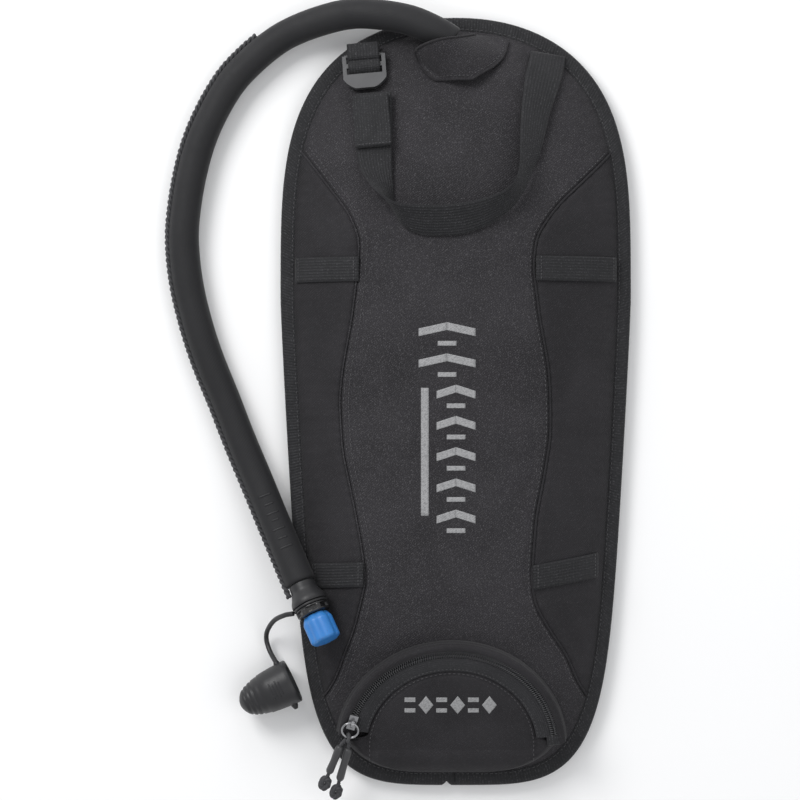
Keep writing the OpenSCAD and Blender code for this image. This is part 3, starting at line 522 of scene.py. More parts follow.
def rounded(profile, radius, parts=4):
    """A closed profile with its corners rounded off."""
    p = np.asarray(profile, float)
    out = []
    for k in range(len(p)):
        a, b, c = p[k - 1], p[k], p[(k + 1) % len(p)]
        u, v = a - b, c - b
        lu, lv = np.linalg.norm(u), np.linalg.norm(v)
        d = min(radius, lu * 0.45, lv * 0.45)
        start, end = b + u / lu * d, b + v / lv * d
        for t in np.linspace(0, 1, parts + 1):
            out.append((1 - t) ** 2 * start + 2 * t * (1 - t) * b + t ** 2 * end)
    return np.array(out)


def stitches(name, path, normals, pitch=3.0, length=2.1, r=0.28, lift=0.1, material=None):
    """Thread stitches along a path: each dives into the cloth at both ends."""
    material = material or THREAD
    s = arc_lengths(path)
    count = int(s[-1] / pitch)
    sides, rings = 5, 5
    angle = 2 * math.pi * np.arange(sides) / sides
    rise = np.array([-0.5, 0.05, 0.14, 0.05, -0.5]) + lift
    points, faces = [], []
    along = np.linspace(-0.5, 0.5, rings) * length
    for k in range(count):
        at = (k + 0.5) * pitch
        here = np.array([[np.interp(at + d, s, path[:, c]) for c in range(3)] for d in along])
        n = np.array([np.interp(at, s, normals[:, c]) for c in range(3)])
        n /= np.linalg.norm(n)
        t = here[-1] - here[0]
        t /= np.linalg.norm(t)
        side = np.cross(t, n)
        base = len(points)
        for q in range(rings):
            for a in angle:
                points.append(here[q] + n * rise[q] + r * (math.cos(a) * side + math.sin(a) * n))
        for f in cell_faces(rings, sides, wrap=True)[:, ::-1]:
            faces.append(f + base)
        faces.append(np.arange(sides) + base)
        faces.append(np.arange((rings - 1) * sides, rings * sides)[::-1] + base)
    return made_object(name, points, faces, material)


def helix(name, path, coil, pitch, wire, finish, slot=None, up=(0, 0, 1), turns=10, sides=6,
          squeeze=1.0, phase=0.0):
    """A wire wound round a path, as the coil of a zip or one strand of a cord."""
    fine = resample(path, pitch / turns, smooth=False)
    t, a, b = frames(fine, up)
    s = arc_lengths(fine)
    w = 2 * math.pi * s / pitch + phase
    line = fine + coil * (np.cos(w)[:, None] * a + squeeze * np.sin(w)[:, None] * b)
    return tube(name, line, wire, sides, finish, slot, up)


# ---------------------------------------------------------------- the pouch's form, as the CAD has it
POUCH_W, TOP, BOTTOM, DOME, BIND, EDGE_Z, WIDE_Y, CREST_X = 229, 254, 247.5, 39, 9, 11, 70, -6


def end_part(y, d):
    return np.where(y > WIDE_Y, (y - WIDE_Y) / (TOP - d - WIDE_Y), (WIDE_Y - y) / (WIDE_Y + BOTTOM - d))


def half_w(y, d):
    u = np.clip(end_part(y, d), 0, 1)
    high = np.maximum(0, 1 - u ** 3.7) ** 0.465
    low = (1 - 0.164 * u ** 1.16) * np.maximum(0, 1 - u ** 8) ** 0.25
    return (POUCH_W / 2 - d) * np.where(y > WIDE_Y, high, low)


def crest_h(y):
    mid, half = (TOP - BOTTOM) / 2, (TOP + BOTTOM) / 2 - BIND
    return DOME * np.maximum(0, 1 - np.minimum(1, np.abs(y - mid) / half) ** 3) ** 0.7


def pillow(t):
    return np.maximum(0, 1 - np.minimum(1, t) ** 2.4) ** 0.7


def side_part(x, y):
    return np.abs(x - CREST_X) / np.maximum(1, half_w(y, BIND) + np.where(x > CREST_X, -CREST_X, CREST_X))


def front_z(x, y):
    return EDGE_Z + crest_h(y) * pillow(side_part(x, y))


def smooth_line(table, sigma=5.0):
    ys = np.arange(-260.0, 261.0)
    t = np.array(table, float)
    xs = np.interp(ys, t[:, 0], t[:, 1])
    k = np.exp(-0.5 * (np.arange(-20, 21) / sigma) ** 2)
    xs = np.convolve(np.pad(xs, 20, mode="edge"), k / k.sum(), mode="valid")
    return lambda y: np.interp(y, ys, xs)


seam_l = smooth_line([
    [-215, -101], [-200, -93], [-178, -78], [-160, -72], [-145, -66], [-125, -61], [-112, -58], [-89, -61],
    [-62, -66], [-29, -73], [4, -75], [24, -73], [57, -67], [82, -64], [108, -62], [125, -69], [142, -82],
    [161, -96], [176, -108]])
seam_r = smooth_line([
    [-215, 101], [-200, 92], [-178, 78], [-160, 71], [-145, 60], [-127, 50], [-112, 48], [-95, 49], [-70, 51],
    [-45, 56], [-20, 60], [4, 60], [24, 59], [57, 53], [90, 49], [110, 51], [130, 65], [147, 83], [161, 97],
    [176, 110]])


def outline(d, step=1.5):
    """Closed outline drawn in by d, from the bottom middle round by the right side."""
    a = np.linspace(0, 1, 900)
    up = np.sin(a * math.pi / 2)
    ys = np.concatenate([WIDE_Y - (WIDE_Y + BOTTOM - d) * up[::-1], WIDE_Y + (TOP - d - WIDE_Y) * up[1:]])
    right = np.stack([half_w(ys, d), ys], 1)
    line = np.concatenate([right, (right * [-1, 1])[::-1][1:]])
    s = arc_lengths(line)
    at = np.linspace(0, s[-1], int(s[-1] / step) + 1)
    return np.stack([np.interp(at, s, line[:, k]) for k in range(2)], 1)


def nearest(x, y, line):
    """Distance to a line, and the length along it, for each point."""
    px, py = np.ravel(x), np.ravel(y)
    t = np.gradient(line, axis=0)
    t /= np.maximum(1e-9, np.linalg.norm(t, axis=1, keepdims=True))
    s = arc_lengths(line)
    dist, along = np.empty(px.size), np.empty(px.size)
    for c in range(0, px.size, 5000):
        dx = px[c:c + 5000, None] - line[None, :, 0]
        dy = py[c:c + 5000, None] - line[None, :, 1]
        k = (dx * dx + dy * dy).argmin(1)
        row = np.arange(len(k))
        ex, ey = dx[row, k], dy[row, k]
        off = np.abs(ex * t[k, 1] - ey * t[k, 0])
        run = ex * t[k, 0] + ey * t[k, 1]
        far = np.maximum(0, np.abs(run) - 2.5)
        dist[c:c + 5000] = np.hypot(off, far)
        along[c:c + 5000] = s[k] + run
    return dist.reshape(np.shape(x)), along.reshape(np.shape(x))


INNER = outline(BIND)
seam_rows = np.arange(-204.0, 171.0, 1.5)
keep_l = -seam_l(seam_rows) < half_w(seam_rows, BIND) + 0.5
keep_r = seam_r(seam_rows) < half_w(seam_rows, BIND) + 0.5
LINE_L = np.stack([seam_l(seam_rows), seam_rows], 1)[keep_l]
LINE_R = np.stack([seam_r(seam_rows), seam_rows], 1)[keep_r]

noise_grid = rng.uniform(-1, 1, (64, 64))


def soft_noise(x, y, size, shift=0):
    """Smooth noise between -1 and 1 with features of that size."""
    u, v = x / size + 20 + shift * 3.7, y / size + 20 + shift * 5.3
    i, j = np.floor(u).astype(int), np.floor(v).astype(int)
    fu, fv = u - i, v - j
    fu, fv = fu * fu * (3 - 2 * fu), fv * fv * (3 - 2 * fv)
    g = lambda a, b: noise_grid[a % 64, b % 64]
    return ((g(i, j) * (1 - fu) + g(i + 1, j) * fu) * (1 - fv)
            + (g(i, j + 1) * (1 - fu) + g(i + 1, j + 1) * fu) * fv)


# Soft folds in the cloth: start, end, width and height in millimetres
FOLDS = [
    ((-93, -150), (-82, -196), 4.0, 1.1), ((-84, -138), (-92, -172), 3.5, -0.8),
    ((-70, -150), (-62, -176), 5.0, 0.9), ((-58, -140), (-50, -168), 6.0, -0.7),
    ((-88, -186), (-70, -205), 4.0, 0.9), ((-76, -196), (-60, -212), 4.0, -0.6),
    ((36, 216), (62, 206), 4.5, 0.9), ((30, 208), (52, 190), 5.0, -0.8),
    ((40, 224), (70, 220), 3.5, -0.7), ((-30, 205), (-12, 186), 6.0, 0.8),
    ((-14, 208), (4, 170), 8.0, -0.6), ((20, 196), (26, 160), 7.0, 0.6),
    ((-58, 60), (-40, 20), 9.0, 0.8), ((-64, 20), (-52, -40), 9.0, -0.7),
    ((-50, -60), (-44, -120), 8.0, 0.8), ((44, 60), (34, 10), 9.0, 0.7),
    ((50, -20), (40, -80), 9.0, -0.6), ((40, -100), (56, -150), 8.0, 0.7),
    ((-92, 60), (-84, 10), 6.0, 0.8), ((-88, -20), (-80, -80), 6.0, -0.7),
    ((84, 60), (78, -10), 7.0, 0.8), ((80, -40), (88, -110), 7.0, -0.7),
    ((66, -120), (84, -165), 6.0, 0.8), ((-40, 96), (30, 90), 12.0, 0.5),
    ((70, 150), (60, 110), 6.0, 0.8), ((-76, 120), (-70, 96), 6.0, 0.6),
    ((10, -110), (-20, -140), 10.0, 0.6),
]
# Where something lies close over the cloth: x range, y range and the room that it has to rise
CLOSE = [
    (-106, -61, 78, 99, 0.25), (49, 107, 79, 100, 0.25), (-96, -57, -121, -99, 0.25),
    (46, 95, -121, -93, 0.25), (-72, -36, 120, 236, 0.8), (-50, 40, 106, 130, 0.6),
    (28, 74, 116, 232, 0.7), (-30, 38, 208, 246, 0.2), (-74, 68, -240, -150, 0.2),
]


def relief(x, y):
    """How far the sewn cloth stands off the plain filled form: seams, puckers and soft folds."""
    x, y = np.asarray(x, float), np.asarray(y, float)
    out = 0.45 * soft_noise(x, y, 34) + 0.22 * soft_noise(x, y, 15, 1) + 0.10 * soft_noise(x, y, 7, 2)
    for (x0, y0), (x1, y1), width, height in FOLDS:
        dx, dy = x1 - x0, y1 - y0
        size = math.hypot(dx, dy)
        t = ((x - x0) * dx + (y - y0) * dy) / size ** 2
        off = ((x - x0) * dy - (y - y0) * dx) / size + 2.5 * np.sin(t * 3.0)
        end = np.clip(1.2 - np.abs(t - 0.5) * 1.6, 0, 1)
        out = out + height * np.exp(-(off / width) ** 2) * end * end * (3 - 2 * end)
    for line, depth in ((LINE_L, 1.5), (LINE_R, 1.3)):
        d, s = nearest(x, y, line)
        pucker = np.sin(2 * math.pi * s / 7.3 + 1.5 * np.sin(s / 23))
        pucker = pucker * np.exp(-d / 5.5) * np.minimum(1, d / 1.5)
        out = out - depth * np.exp(-(d / 1.5) ** 2) + 0.5 * np.exp(-((d - 4.5) / 3) ** 2) + 0.32 * pucker
    d, s = nearest(x, y, INNER)
    pucker = np.sin(2 * math.pi * s / 8.1 + 1.7 * np.sin(s / 31)) * np.exp(-d / 7) * np.minimum(1, d / 2)
    out = out - 0.7 * np.exp(-(d / 2.2) ** 2) + 0.4 * pucker
    room = np.full(np.shape(out), 2.6)
    for x0, x1, y0, y1, allowed in CLOSE:
        gap = np.hypot(np.maximum(0, np.maximum(x0 - x, x - x1)), np.maximum(0, np.maximum(y0 - y, y - y1)))
        room = np.minimum(room, allowed + gap * 0.16)
    out = np.minimum(out, room)
    return np.clip(out, -1.9, 2.6) * np.clip(d / 1.2, 0, 1)


def cloth_z(x, y):
    return front_z(x, y) + relief(x, y)


def on_cloth(xy, lift=0.0):
    """Points and normals on the front cloth along a flat path."""
    x, y = xy[:, 0], xy[:, 1]
    z = cloth_z(x, y)
    e = 0.8
    n = np.stack([-(front_z(x + e, y) - front_z(x - e, y)) / (2 * e),
                  -(front_z(x, y + e) - front_z(x, y - e)) / (2 * e), np.ones(len(x))], 1)
    n /= np.linalg.norm(n, axis=1, keepdims=True)
    return np.stack([x, y, z], 1) + n * lift, n


# ---------------------------------------------------------------- hose
HOSE_ROUTE = [
    [-2, 236, 29.6], [-14, 243, 29.8], [-30, 250, 28], [-50, 254, 25], [-69, 255, 20], [-89, 251, 14.5],
    [-108, 244, 10.6], [-121, 236, 9.8], [-134, 225, 9.8], [-146, 212, 9.8], [-157, 194, 9.8],
    [-166, 174, 9.8], [-172, 153, 9.8], [-176, 130, 9.8], [-177.5, 108, 9.8], [-175, 82, 9.8],
    [-169, 56, 9.8], [-161, 31, 9.8], [-150, 4, 10], [-139, -24, 11.2], [-128, -50, 14.4], [-117, -76, 19.6],
    [-108, -97, 24.6], [-100.6, -114, 29]]
HOSE_D, TUBE_D = 19.5, 9.6
VALVE_AT = np.array(HOSE_ROUTE[-1], float)
VALVE_DIR = np.array([0.4, -0.867, 0.27])
VALVE_DIR /= np.linalg.norm(VALVE_DIR)
hose_path = resample(HOSE_ROUTE, 1.6)


def hose_cover():
    n, sides = len(hose_path), 48
    s = arc_lengths(hose_path)
    angle = 2 * math.pi * np.arange(sides) / sides
    t, _, _ = frames(hose_path)
    a = np.cross(t, (0, 0, 1.0))
    a /= np.linalg.norm(a, axis=1, keepdims=True)
    b = np.cross(a, t)
    r = HOSE_D / 2 + 0.10 * np.sin(s[:, None] / 37) + 0.07 * np.sin(s[:, None] / 11 + 2 * angle[None])
    r = r - 0.5 * np.exp(-((s[:, None] - s[-1]) / 1.1) ** 2) - 0.5 * np.exp(-(s[:, None] / 1.1) ** 2)
    outer = hose_path[:, None] + r[..., None] * (np.cos(angle)[None, :, None] * a[:, None]
                                                 + np.sin(angle)[None, :, None] * b[:, None])
    rows = [outer]
    for radius, back in ((8.6, 0.0), (5.7, 0.0), (5.5, 5.0)):
        end = hose_path[-1] - t[-1] * back
        circle = np.cos(angle)[:, None] * a[-1] + np.sin(angle)[:, None] * b[-1]
        rows.append((end[None] + radius * circle)[None])
    first = []
    for radius, back in ((5.5, 5.0), (5.7, 0.0), (8.6, 0.0)):
        end = hose_path[0] + t[0] * back
        circle = np.cos(angle)[:, None] * a[0] + np.sin(angle)[:, None] * b[0]
        first.append((end[None] + radius * circle)[None])
    ring = np.concatenate(first + rows)
    m = len(ring)
    at = np.concatenate([[0, 0, 0], s, [s[-1]] * 3])
    lay = np.stack([np.broadcast_to(at[:, None], (m, sides)),
                    np.broadcast_to(HOSE_D / 2 * angle[None], (m, sides)), np.zeros((m, sides))], 2)
    faces = cell_faces(m, sides, wrap=True)[:, ::-1].tolist()
    faces.append(list(range(sides)))
    faces.append(list(range((m - 1) * sides, m * sides))[::-1])
    return made_object("hose_cover", ring, faces, "hose_cover", lay=lay), a, b, t, s


hose, hose_side, hose_up, hose_t, hose_s = hose_cover()
settled(hose, "root", ["tube_cover"])


# ---------------------------------------------------------------- front panels
FABRIC_T = 0.9
HOLE_X, HOLE_Y = 12, 226


def row_heights(count, low, high, power=1.5):
    s = np.linspace(-1, 1, count)
    return (low + high) / 2 + (high - low) / 2 * np.sign(s) * (1 - (1 - np.abs(s)) ** power)


def sheet_between(y, left, right, nj, depth=0.0, cloth=True):
    """Grid of points over the front between two edges, at a depth under its face."""
    u = np.linspace(0, 1, nj)
    x = left[:, None] + (right - left)[:, None] * u[None]
    yy = np.broadcast_to(y[:, None], x.shape)
    z = (cloth_z(x, yy) if cloth else front_z(x, yy)) - depth
    return np.stack([x, yy, z], 2)


def under(grid, thick):
    low = grid.copy()
    low[..., 2] -= thick
    return low


ys = row_heights(350, -238.42, 244.9, 1.35)
w = half_w(ys, BIND)
left, right = np.maximum(-w, seam_l(ys)), np.minimum(w, seam_r(ys))
centre = sheet_between(ys, left, right, 150)
mid = (centre[:-1, :-1] + centre[1:, 1:]) / 2
# the hole under the port patch, where the tube comes up
hole = (((mid[..., 0] - HOLE_X) / 17) ** 2 + ((mid[..., 1] - HOLE_Y) / 9) ** 2 < 1) & (mid[..., 1] < 235.5)
front_centre = shell("front_center_panel", centre, under(centre, FABRIC_T), "panel_fabric", keep=~hole)
settled(front_centre, "root", ["front_center_panel"])

for name, sign in (("front_side_panel_left", -1), ("front_side_panel_right", 1)):
    edge = -seam_l(ys) if sign < 0 else seam_r(ys)
    rows = ys[(w - edge > 0.6) & (np.abs(ys) < 215)]
    rows = np.linspace(rows[0], rows[-1], 270)
    we = half_w(rows, BIND)
    inner = seam_l(rows) if sign < 0 else seam_r(rows)
    grid = sheet_between(rows, -we if sign < 0 else inner, inner if sign < 0 else we, 44)
    panel = shell(name, grid, under(grid, FABRIC_T), "side_fabric")
    settled(panel, "root", [name])


# Foam and liner under the front, and under the back
def foam_t(x, y):
    return 1.0 + 2.4 * pillow(side_part(x, y))


ys_in = row_heights(120, -238.0, 244.5, 1.35)
w_in = half_w(ys_in, BIND)
lining = sheet_between(ys_in, -w_in, w_in, 72, cloth=False)
lx, ly = lining[..., 0], lining[..., 1]
mid_in = (lining[:-1, :-1] + lining[1:, 1:]) / 2
hole_in = ((mid_in[..., 0] - HOLE_X) / 20) ** 2 + ((mid_in[..., 1] - HOLE_Y) / 11) ** 2 < 1
hole_in = hole_in & (mid_in[..., 1] < 237)
quilt = 0.16 * (np.cos(2 * math.pi * (lx + ly) / 30) * np.cos(2 * math.pi * (lx - ly) / 30))
foam_top, foam_low = lining.copy(), lining.copy()
foam_top[..., 2] -= 2.9 + 0.1 * soft_noise(lx, ly, 6)
foam_low[..., 2] -= 1.35 + foam_t(lx, ly) * 0.9 + 0.6
foam_top[..., 2] = np.maximum(foam_top[..., 2], foam_low[..., 2] + 0.4)
front_foam = shell("front_foam", foam_top, foam_low, "foam", keep=~hole_in)
settled(front_foam, "root", ["front_foam"])
film_top, film_low = foam_low.copy(), foam_low.copy()
film_top[..., 2] -= 0.1
film_low[..., 2] -= 0.45 + np.abs(quilt)
front_liner = shell("front_liner", film_top, film_low, "liner", keep=~hole_in)
settled(front_liner, "root", ["front_liner"])


BACK_ZIP_Y, ZIP_HALF, SLOT_HALF = 196, 76, 9.8


def dish_z(x, y):
    """The back's lower face: flat on the floor, rising to the binding at its rim."""
    d, _ = nearest(x, y, INNER)
    return 5.6 + np.interp(d, [0, 4, 9, 15], [0, -3.4, -5.1, -5.6])


ys_b = row_heights(230, -238.42, 244.9, 1.35)
w_b = half_w(ys_b, BIND)
u_b = np.linspace(-1, 1, 120)
bx = w_b[:, None] * u_b[None]
by = np.broadcast_to(ys_b[:, None], bx.shape)
bz = dish_z(bx, by)
rim_d, rim_s = nearest(bx, by, INNER)
rim_pucker = 0.2 * np.exp(-rim_d / 6) * (1 + np.sin(2 * math.pi * rim_s / 8.7))
lift = 0.25 * (1 + soft_noise(bx, by, 18, 3)) + rim_pucker
for yy_line in (-150, -60, 30, 120):
    lift = lift + 0.5 * np.exp(-((by - yy_line + 6 * np.cos(bx / 40)) / 1.6) ** 2)
back_low = np.stack([bx, by, bz + np.clip(lift, 0, 0.9)], 2)
mid_b = (back_low[:-1, :-1] + back_low[1:, 1:]) / 2
slot = (np.abs(mid_b[..., 0]) < ZIP_HALF) & (np.abs(mid_b[..., 1] - BACK_ZIP_Y) < SLOT_HALF)


def layer_between(low, z0, z1):
    a, b = low.copy(), low.copy()
    a[..., 2] += z1
    b[..., 2] += z0
    return a, b


for name, slot_name, z0, z1 in (("back_panel", "back_fabric", 0.0, 0.9), ("back_foam", "foam", 1.0, 1.9),
                                ("back_liner", "liner", 2.05, 2.4)):
    hi, lo = layer_between(back_low, z0, z1)
    piece = shell(name, hi, lo, slot_name, keep=~slot)
    settled(piece, "root", [name])

# ---------------------------------------------------------------- edge binding
rim_out = outline(0.0, 1.5)[:-1]
rim_in = outline(BIND + 0.9, 1.5)[:-1]


def match(outer, inner):
    """For each outer point, a point of the inner line at the same share of its length."""
    so = np.linspace(0, 1, len(outer), endpoint=False)
    closed = np.concatenate([inner, inner[:1]])
    si = np.linspace(0, 1, len(closed))
    return np.stack([np.interp(so, si, closed[:, k]) for k in range(2)], 1)


rim_in = match(rim_out, rim_in)
RIM_SECTION = [(0.0, 8.3), (0.06, 10.2), (0.18, 11.0), (0.45, 11.25), (0.80, 11.2), (0.93, 11.3), (1.0, 10.9),
               (1.0, 6.0), (0.9, 5.7), (0.5, 5.5), (0.18, 5.7), (0.06, 6.4)]
n_rim = len(rim_out)
along_rim = arc_lengths(np.concatenate([rim_out, rim_out[:1]]))[:-1]
notch = np.exp(-(((rim_out[:, 0] + 6) / 1.6) ** 2)) * (rim_out[:, 1] < -200)
section = []
for share, z in RIM_SECTION:
    xy = rim_out * (1 - share) + rim_in * share
    wave_z = 0.12 * np.sin(2 * math.pi * along_rim / 9.3 + np.sin(along_rim / 40)) * (z > 9)
    xy = xy + np.stack([0 * notch, notch * 2.6 * (1 - share)], 1)
    section.append(np.stack([xy[:, 0], xy[:, 1], np.full(n_rim, z) + wave_z], 1))
section = np.stack(section, 1)
m_rim = section.shape[1]
rim_faces = cell_faces(n_rim + 1, m_rim, wrap=True) % (n_rim * m_rim)
rim_lay = np.stack([np.broadcast_to(np.arange(m_rim)[None] * 1.0, (n_rim, m_rim)),
                    np.broadcast_to(along_rim[:, None], (n_rim, m_rim)), np.zeros((n_rim, m_rim))], 2)
binding = made_object("edge_binding", section, rim_faces.tolist(), "webbing", lay=rim_lay)
settled(binding, "root", ["edge_binding"])

seam_threads = []
ring = outline(BIND - 1.2, 1.2)
ring3 = np.stack([ring[:, 0], ring[:, 1], np.full(len(ring), 11.15)], 1)
seam_threads.append(stitches("t0", ring3, np.tile([0, 0, 1.0], (len(ring3), 1)), 3.1, 2.2, 0.26))


def offset_line(line, d):
    t = np.gradient(line, axis=0)
    t /= np.linalg.norm(t, axis=1, keepdims=True)
    return line + np.stack([t[:, 1], -t[:, 0]], 1) * d


for line, shifts in ((LINE_L, (2.2, 5.2)), (LINE_R, (-2.4,))):
    for shift in shifts:
        path, normals = on_cloth(resample(offset_line(line, shift), 1.5, smooth=False))
        seam_threads.append(stitches("t1", path, normals, 3.0, 2.0, 0.27, 0.12))
threads = joined(seam_threads, "front_stitching")
settled(threads)


# Both seams are piped: a fine rolled edge stands on each
def seam_piping(name, line, r, slot_name):
    path, normals = on_cloth(resample(line, 1.8, smooth=False), 0.9)
    piece = tube(name, path, r, 8, slot_name)
    return settled(piece)


seam_piping("seam_edge_right", offset_line(LINE_R, 0.0), 0.75, "side_fabric")
seam_piping("seam_edge_left", offset_line(LINE_L, 0.0), 0.6, "panel_fabric")


# ---------------------------------------------------------------- webbing bands
def band(name, stations, thick, rib=1.9, depth=0.14, across=28, step=1.6, gap=1.3, hem=None):
    """A strip of webbing: each station is its two edge points [x, y, clearance over the front]."""
    st = np.array(stations, float)
    ends = st.copy()
    ends[..., 2] += front_z(st[..., 0], st[..., 1])
    a, b = catmull(ends[:, 0], 14), catmull(ends[:, 1], 14)
    s = arc_lengths((a + b) / 2)
    at = np.linspace(0, s[-1], max(4, int(s[-1] / step) + 1))
    a = np.stack([np.interp(at, s, a[:, k]) for k in range(3)], 1)
    b = np.stack([np.interp(at, s, b[:, k]) for k in range(3)], 1)
    u = np.linspace(0, 1, across)
    mid = a[:, None] + (b - a)[:, None] * u[None, :, None]
    mid[..., 2] = np.maximum(mid[..., 2], front_z(mid[..., 0], mid[..., 1]) + gap)
    n = grid_normals(mid)
    width = np.linalg.norm(b - a, axis=1).mean()
    half = thick / 2 * np.sqrt(np.maximum(0.05, 1 - np.abs(2 * u - 1) ** 7))[None]
    ribs = depth * (np.abs(np.sin(math.pi * u * width / rib)) - 0.5)[None]
    ripple = 0.05 * np.sin(2 * math.pi * at / 1.7)[:, None]
    raise_ = np.zeros((len(at), 1))
    if hem is not None:
        raise_ = (hem[1] * (np.abs(at - (at[-1] if hem[0] > 0 else 0)) < abs(hem[0])))[:, None] * 1.0
    top = mid + n * (half + ribs + ripple + raise_)[..., None]
    low = mid - n * (half + ribs * 0.6)[..., None]
    lay = np.stack([np.broadcast_to(at[:, None], (len(at), across)),
                    np.broadcast_to(u[None] * width, (len(at), across)), np.zeros((len(at), across))], 2)
    return shell(name, top, low, "webbing", lay=lay), mid, n


def side_loop(name, x0, x1, y0, y1):
    stations = [[[x0 + (x1 - x0) * t, y0 + (y1 - y0) * t, 1.3],
                 [x0 + (x1 - x0) * t, y0 + (y1 - y0) * t + 16, 1.3]] for t in np.linspace(0, 1, 7)]
    return band(name, [[s[1], s[0]] for s in stations], 1.5, across=20)


LOOPS = {
    "side_loop_upper_left": (-104, -63, 80.5, 80.5), "side_loop_upper_right": (51, 104, 81, 81),
    "side_loop_lower_left": (-93, -60, -118, -116), "side_loop_lower_right": (49, 92, -118, -111),
}
loop_threads = []
for name, span in LOOPS.items():
    piece, mid_line, norm = side_loop(name, *span)
    settled(piece, "root", [name])
    for i in (2, -3):
        loop_threads.append(stitches("t2", mid_line[i] + norm[i] * 0.85, norm[i], 2.2, 1.6, 0.26, 0.05))
seam_threads = joined(loop_threads, "loop_stitching")
settled(seam_threads)

LOOP_STATIONS = [
    [[-65, 202, 6], [-42, 203, 6]], [[-65, 184, 5], [-41.5, 185, 5]], [[-64.5, 166, 5], [-41.5, 167, 4]],
    [[-62.5, 155, 8], [-41.5, 154, 3.5]], [[-58.5, 146, 13], [-41, 144, 2.5]],
    [[-52, 138, 18], [-40.5, 134, 2]], [[-44, 132, 20], [-38.5, 123, 2]],
    [[-35, 129, 19], [-33, 114.5, 2]], [[-24, 128.5, 16], [-22, 110, 2]], [[-10, 128.5, 14], [-9, 109.5, 2]],
    [[4, 130, 14], [6, 111, 2]], [[18, 133, 15], [21, 117, 2]], [[30, 138, 18], [34, 126, 2]],
    [[37.5, 145, 19], [43, 138, 2]], [[40, 155, 16], [49.5, 153, 2.5]], [[40.5, 166, 12], [54.5, 166, 3]],
    [[41.5, 188, 7], [60.5, 189, 4]], [[44, 209, 5], [67, 208, 4]], [[46, 219, 4], [69.5, 217, 3.5]],
    [[48, 227, 2.6], [71.2, 225, 2]], [[48.5, 231, 1.4], [71.5, 228, 1]]]
strap, _, _ = band("hang_strap_loop", [[s[1], s[0]] for s in LOOP_STATIONS], 1.5, across=30)
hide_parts("hang_strap_loop", "hang_strap_anchor")
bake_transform(strap)

TAIL_STATIONS = [
    [[-67, 200, 9.5], [-44, 202, 9.5]], [[-66.5, 188, 8], [-43, 189, 8]],
    [[-65.5, 176, 7.4], [-42, 177, 7.4]],
    [[-65, 166, 7.2], [-41.5, 168, 7.2]]]
tail, tail_mid, tail_n = band("hang_strap_tail", [[s[1], s[0]] for s in TAIL_STATIONS], 1.6, across=30,
                              rib=2.3, depth=0.3, hem=(7, 0.7))
settled(tail, "hang_loop", ["hang_strap_tail"])
tail_rows = [stitches("tail_row", tail_mid[i] + tail_n[i] * height, tail_n[i], 2.2, 1.6, 0.26, 0.08)
             for i, height in ((-2, 1.5), (-5, 0.9))]
tail_thread = joined(tail_rows, "tail_stitching")
settled(tail_thread, "hang_loop")


# Webbing folded over the buckle's top bar, and threaded round its middle bar
BAR_AT = np.array([-60, 227.4, 24.5])
BUCKLE_TURN = Euler([math.radians(a) for a in (-18, -3, 5)], "XYZ").to_matrix()


def at_buckle(p):
    return np.asarray(p, float) @ np.array(BUCKLE_TURN).T + BAR_AT


def fold_strip(name, side_view, thick, wide):
    """A strip of webbing that follows a curve seen from the side, in the buckle's frame."""
    line = resample(np.array([[0.0, y, z] for y, z in side_view]), 0.6)
    u = np.linspace(-1, 1, 26)
    t = np.gradient(line, axis=0)
    t /= np.linalg.norm(t, axis=1, keepdims=True)
    out = np.stack([0 * t[:, 0], -t[:, 2], t[:, 1]], 1)
    mid = line[:, None] + np.array([1.0, 0, 0]) * (u * wide / 2)[None, :, None]
    ribs = 0.12 * (np.abs(np.sin(math.pi * (u * wide / 2) / 1.9)) - 0.5)
    half = (thick / 2 * np.sqrt(np.maximum(0.05, 1 - np.abs(u) ** 9)) + ribs)[None, :, None]
    s = arc_lengths(line)
    lay = np.stack([np.broadcast_to(s[:, None], mid.shape[:2]), np.broadcast_to(u * wide / 2, mid.shape[:2]),
                    np.zeros(mid.shape[:2])], 2)
    top, low = at_buckle(mid + out[:, None] * half), at_buckle(mid - out[:, None] * half)
    return shell(name, top[:, ::-1], low[:, ::-1], "webbing", lay=lay[:, ::-1])


bend = np.radians(np.arange(90, 271, 15))
WEBBING_T, WEBBING_W = 1.1, 20.6
tab_view = [(7.4, 3.65), (5, 3.7), (3, 3.65)] + [(3.6 * math.cos(a), 3.6 * math.sin(a)) for a in bend] + \
           [(3, -3.65), (6, -3.7), (9.4, -3.65)]
settled(fold_strip("buckle_tab", tab_view, WEBBING_T, WEBBING_W), "root", ["buckle_tab"])
thread_view = [(-21, -2.5), (-16, -2.5), (-12.9, -1.6), (-11.0, 0.8), (-9.4, 2.6), (-7.1, 3.0),
               (-4.9, 2.5), (-3.7, 0.6), (-3.9, -1.6), (-6.4, -3.4), (-11, -4.0), (-16, -4.2), (-21, -4.2)]
settled(fold_strip("buckle_webbing", thread_view, WEBBING_T, WEBBING_W), "hang_loop")


# ---------------------------------------------------------------- port patch
# For each y, the patch's left and right edge
PORT_ROWS = np.array([[211, -14, 10], [215, -19, 16], [220, -23, 24], [225, -25, 29], [230, -26, 32],
                      [234, -16, 33], [238, 2, 34], [241, 12, 30]], float)


TUNNEL_FROM, TUNNEL_TO, TUNNEL_H, TUNNEL_HALF = np.array([22, 214.0]), np.array([-9, 238.0]), 27.5, 21


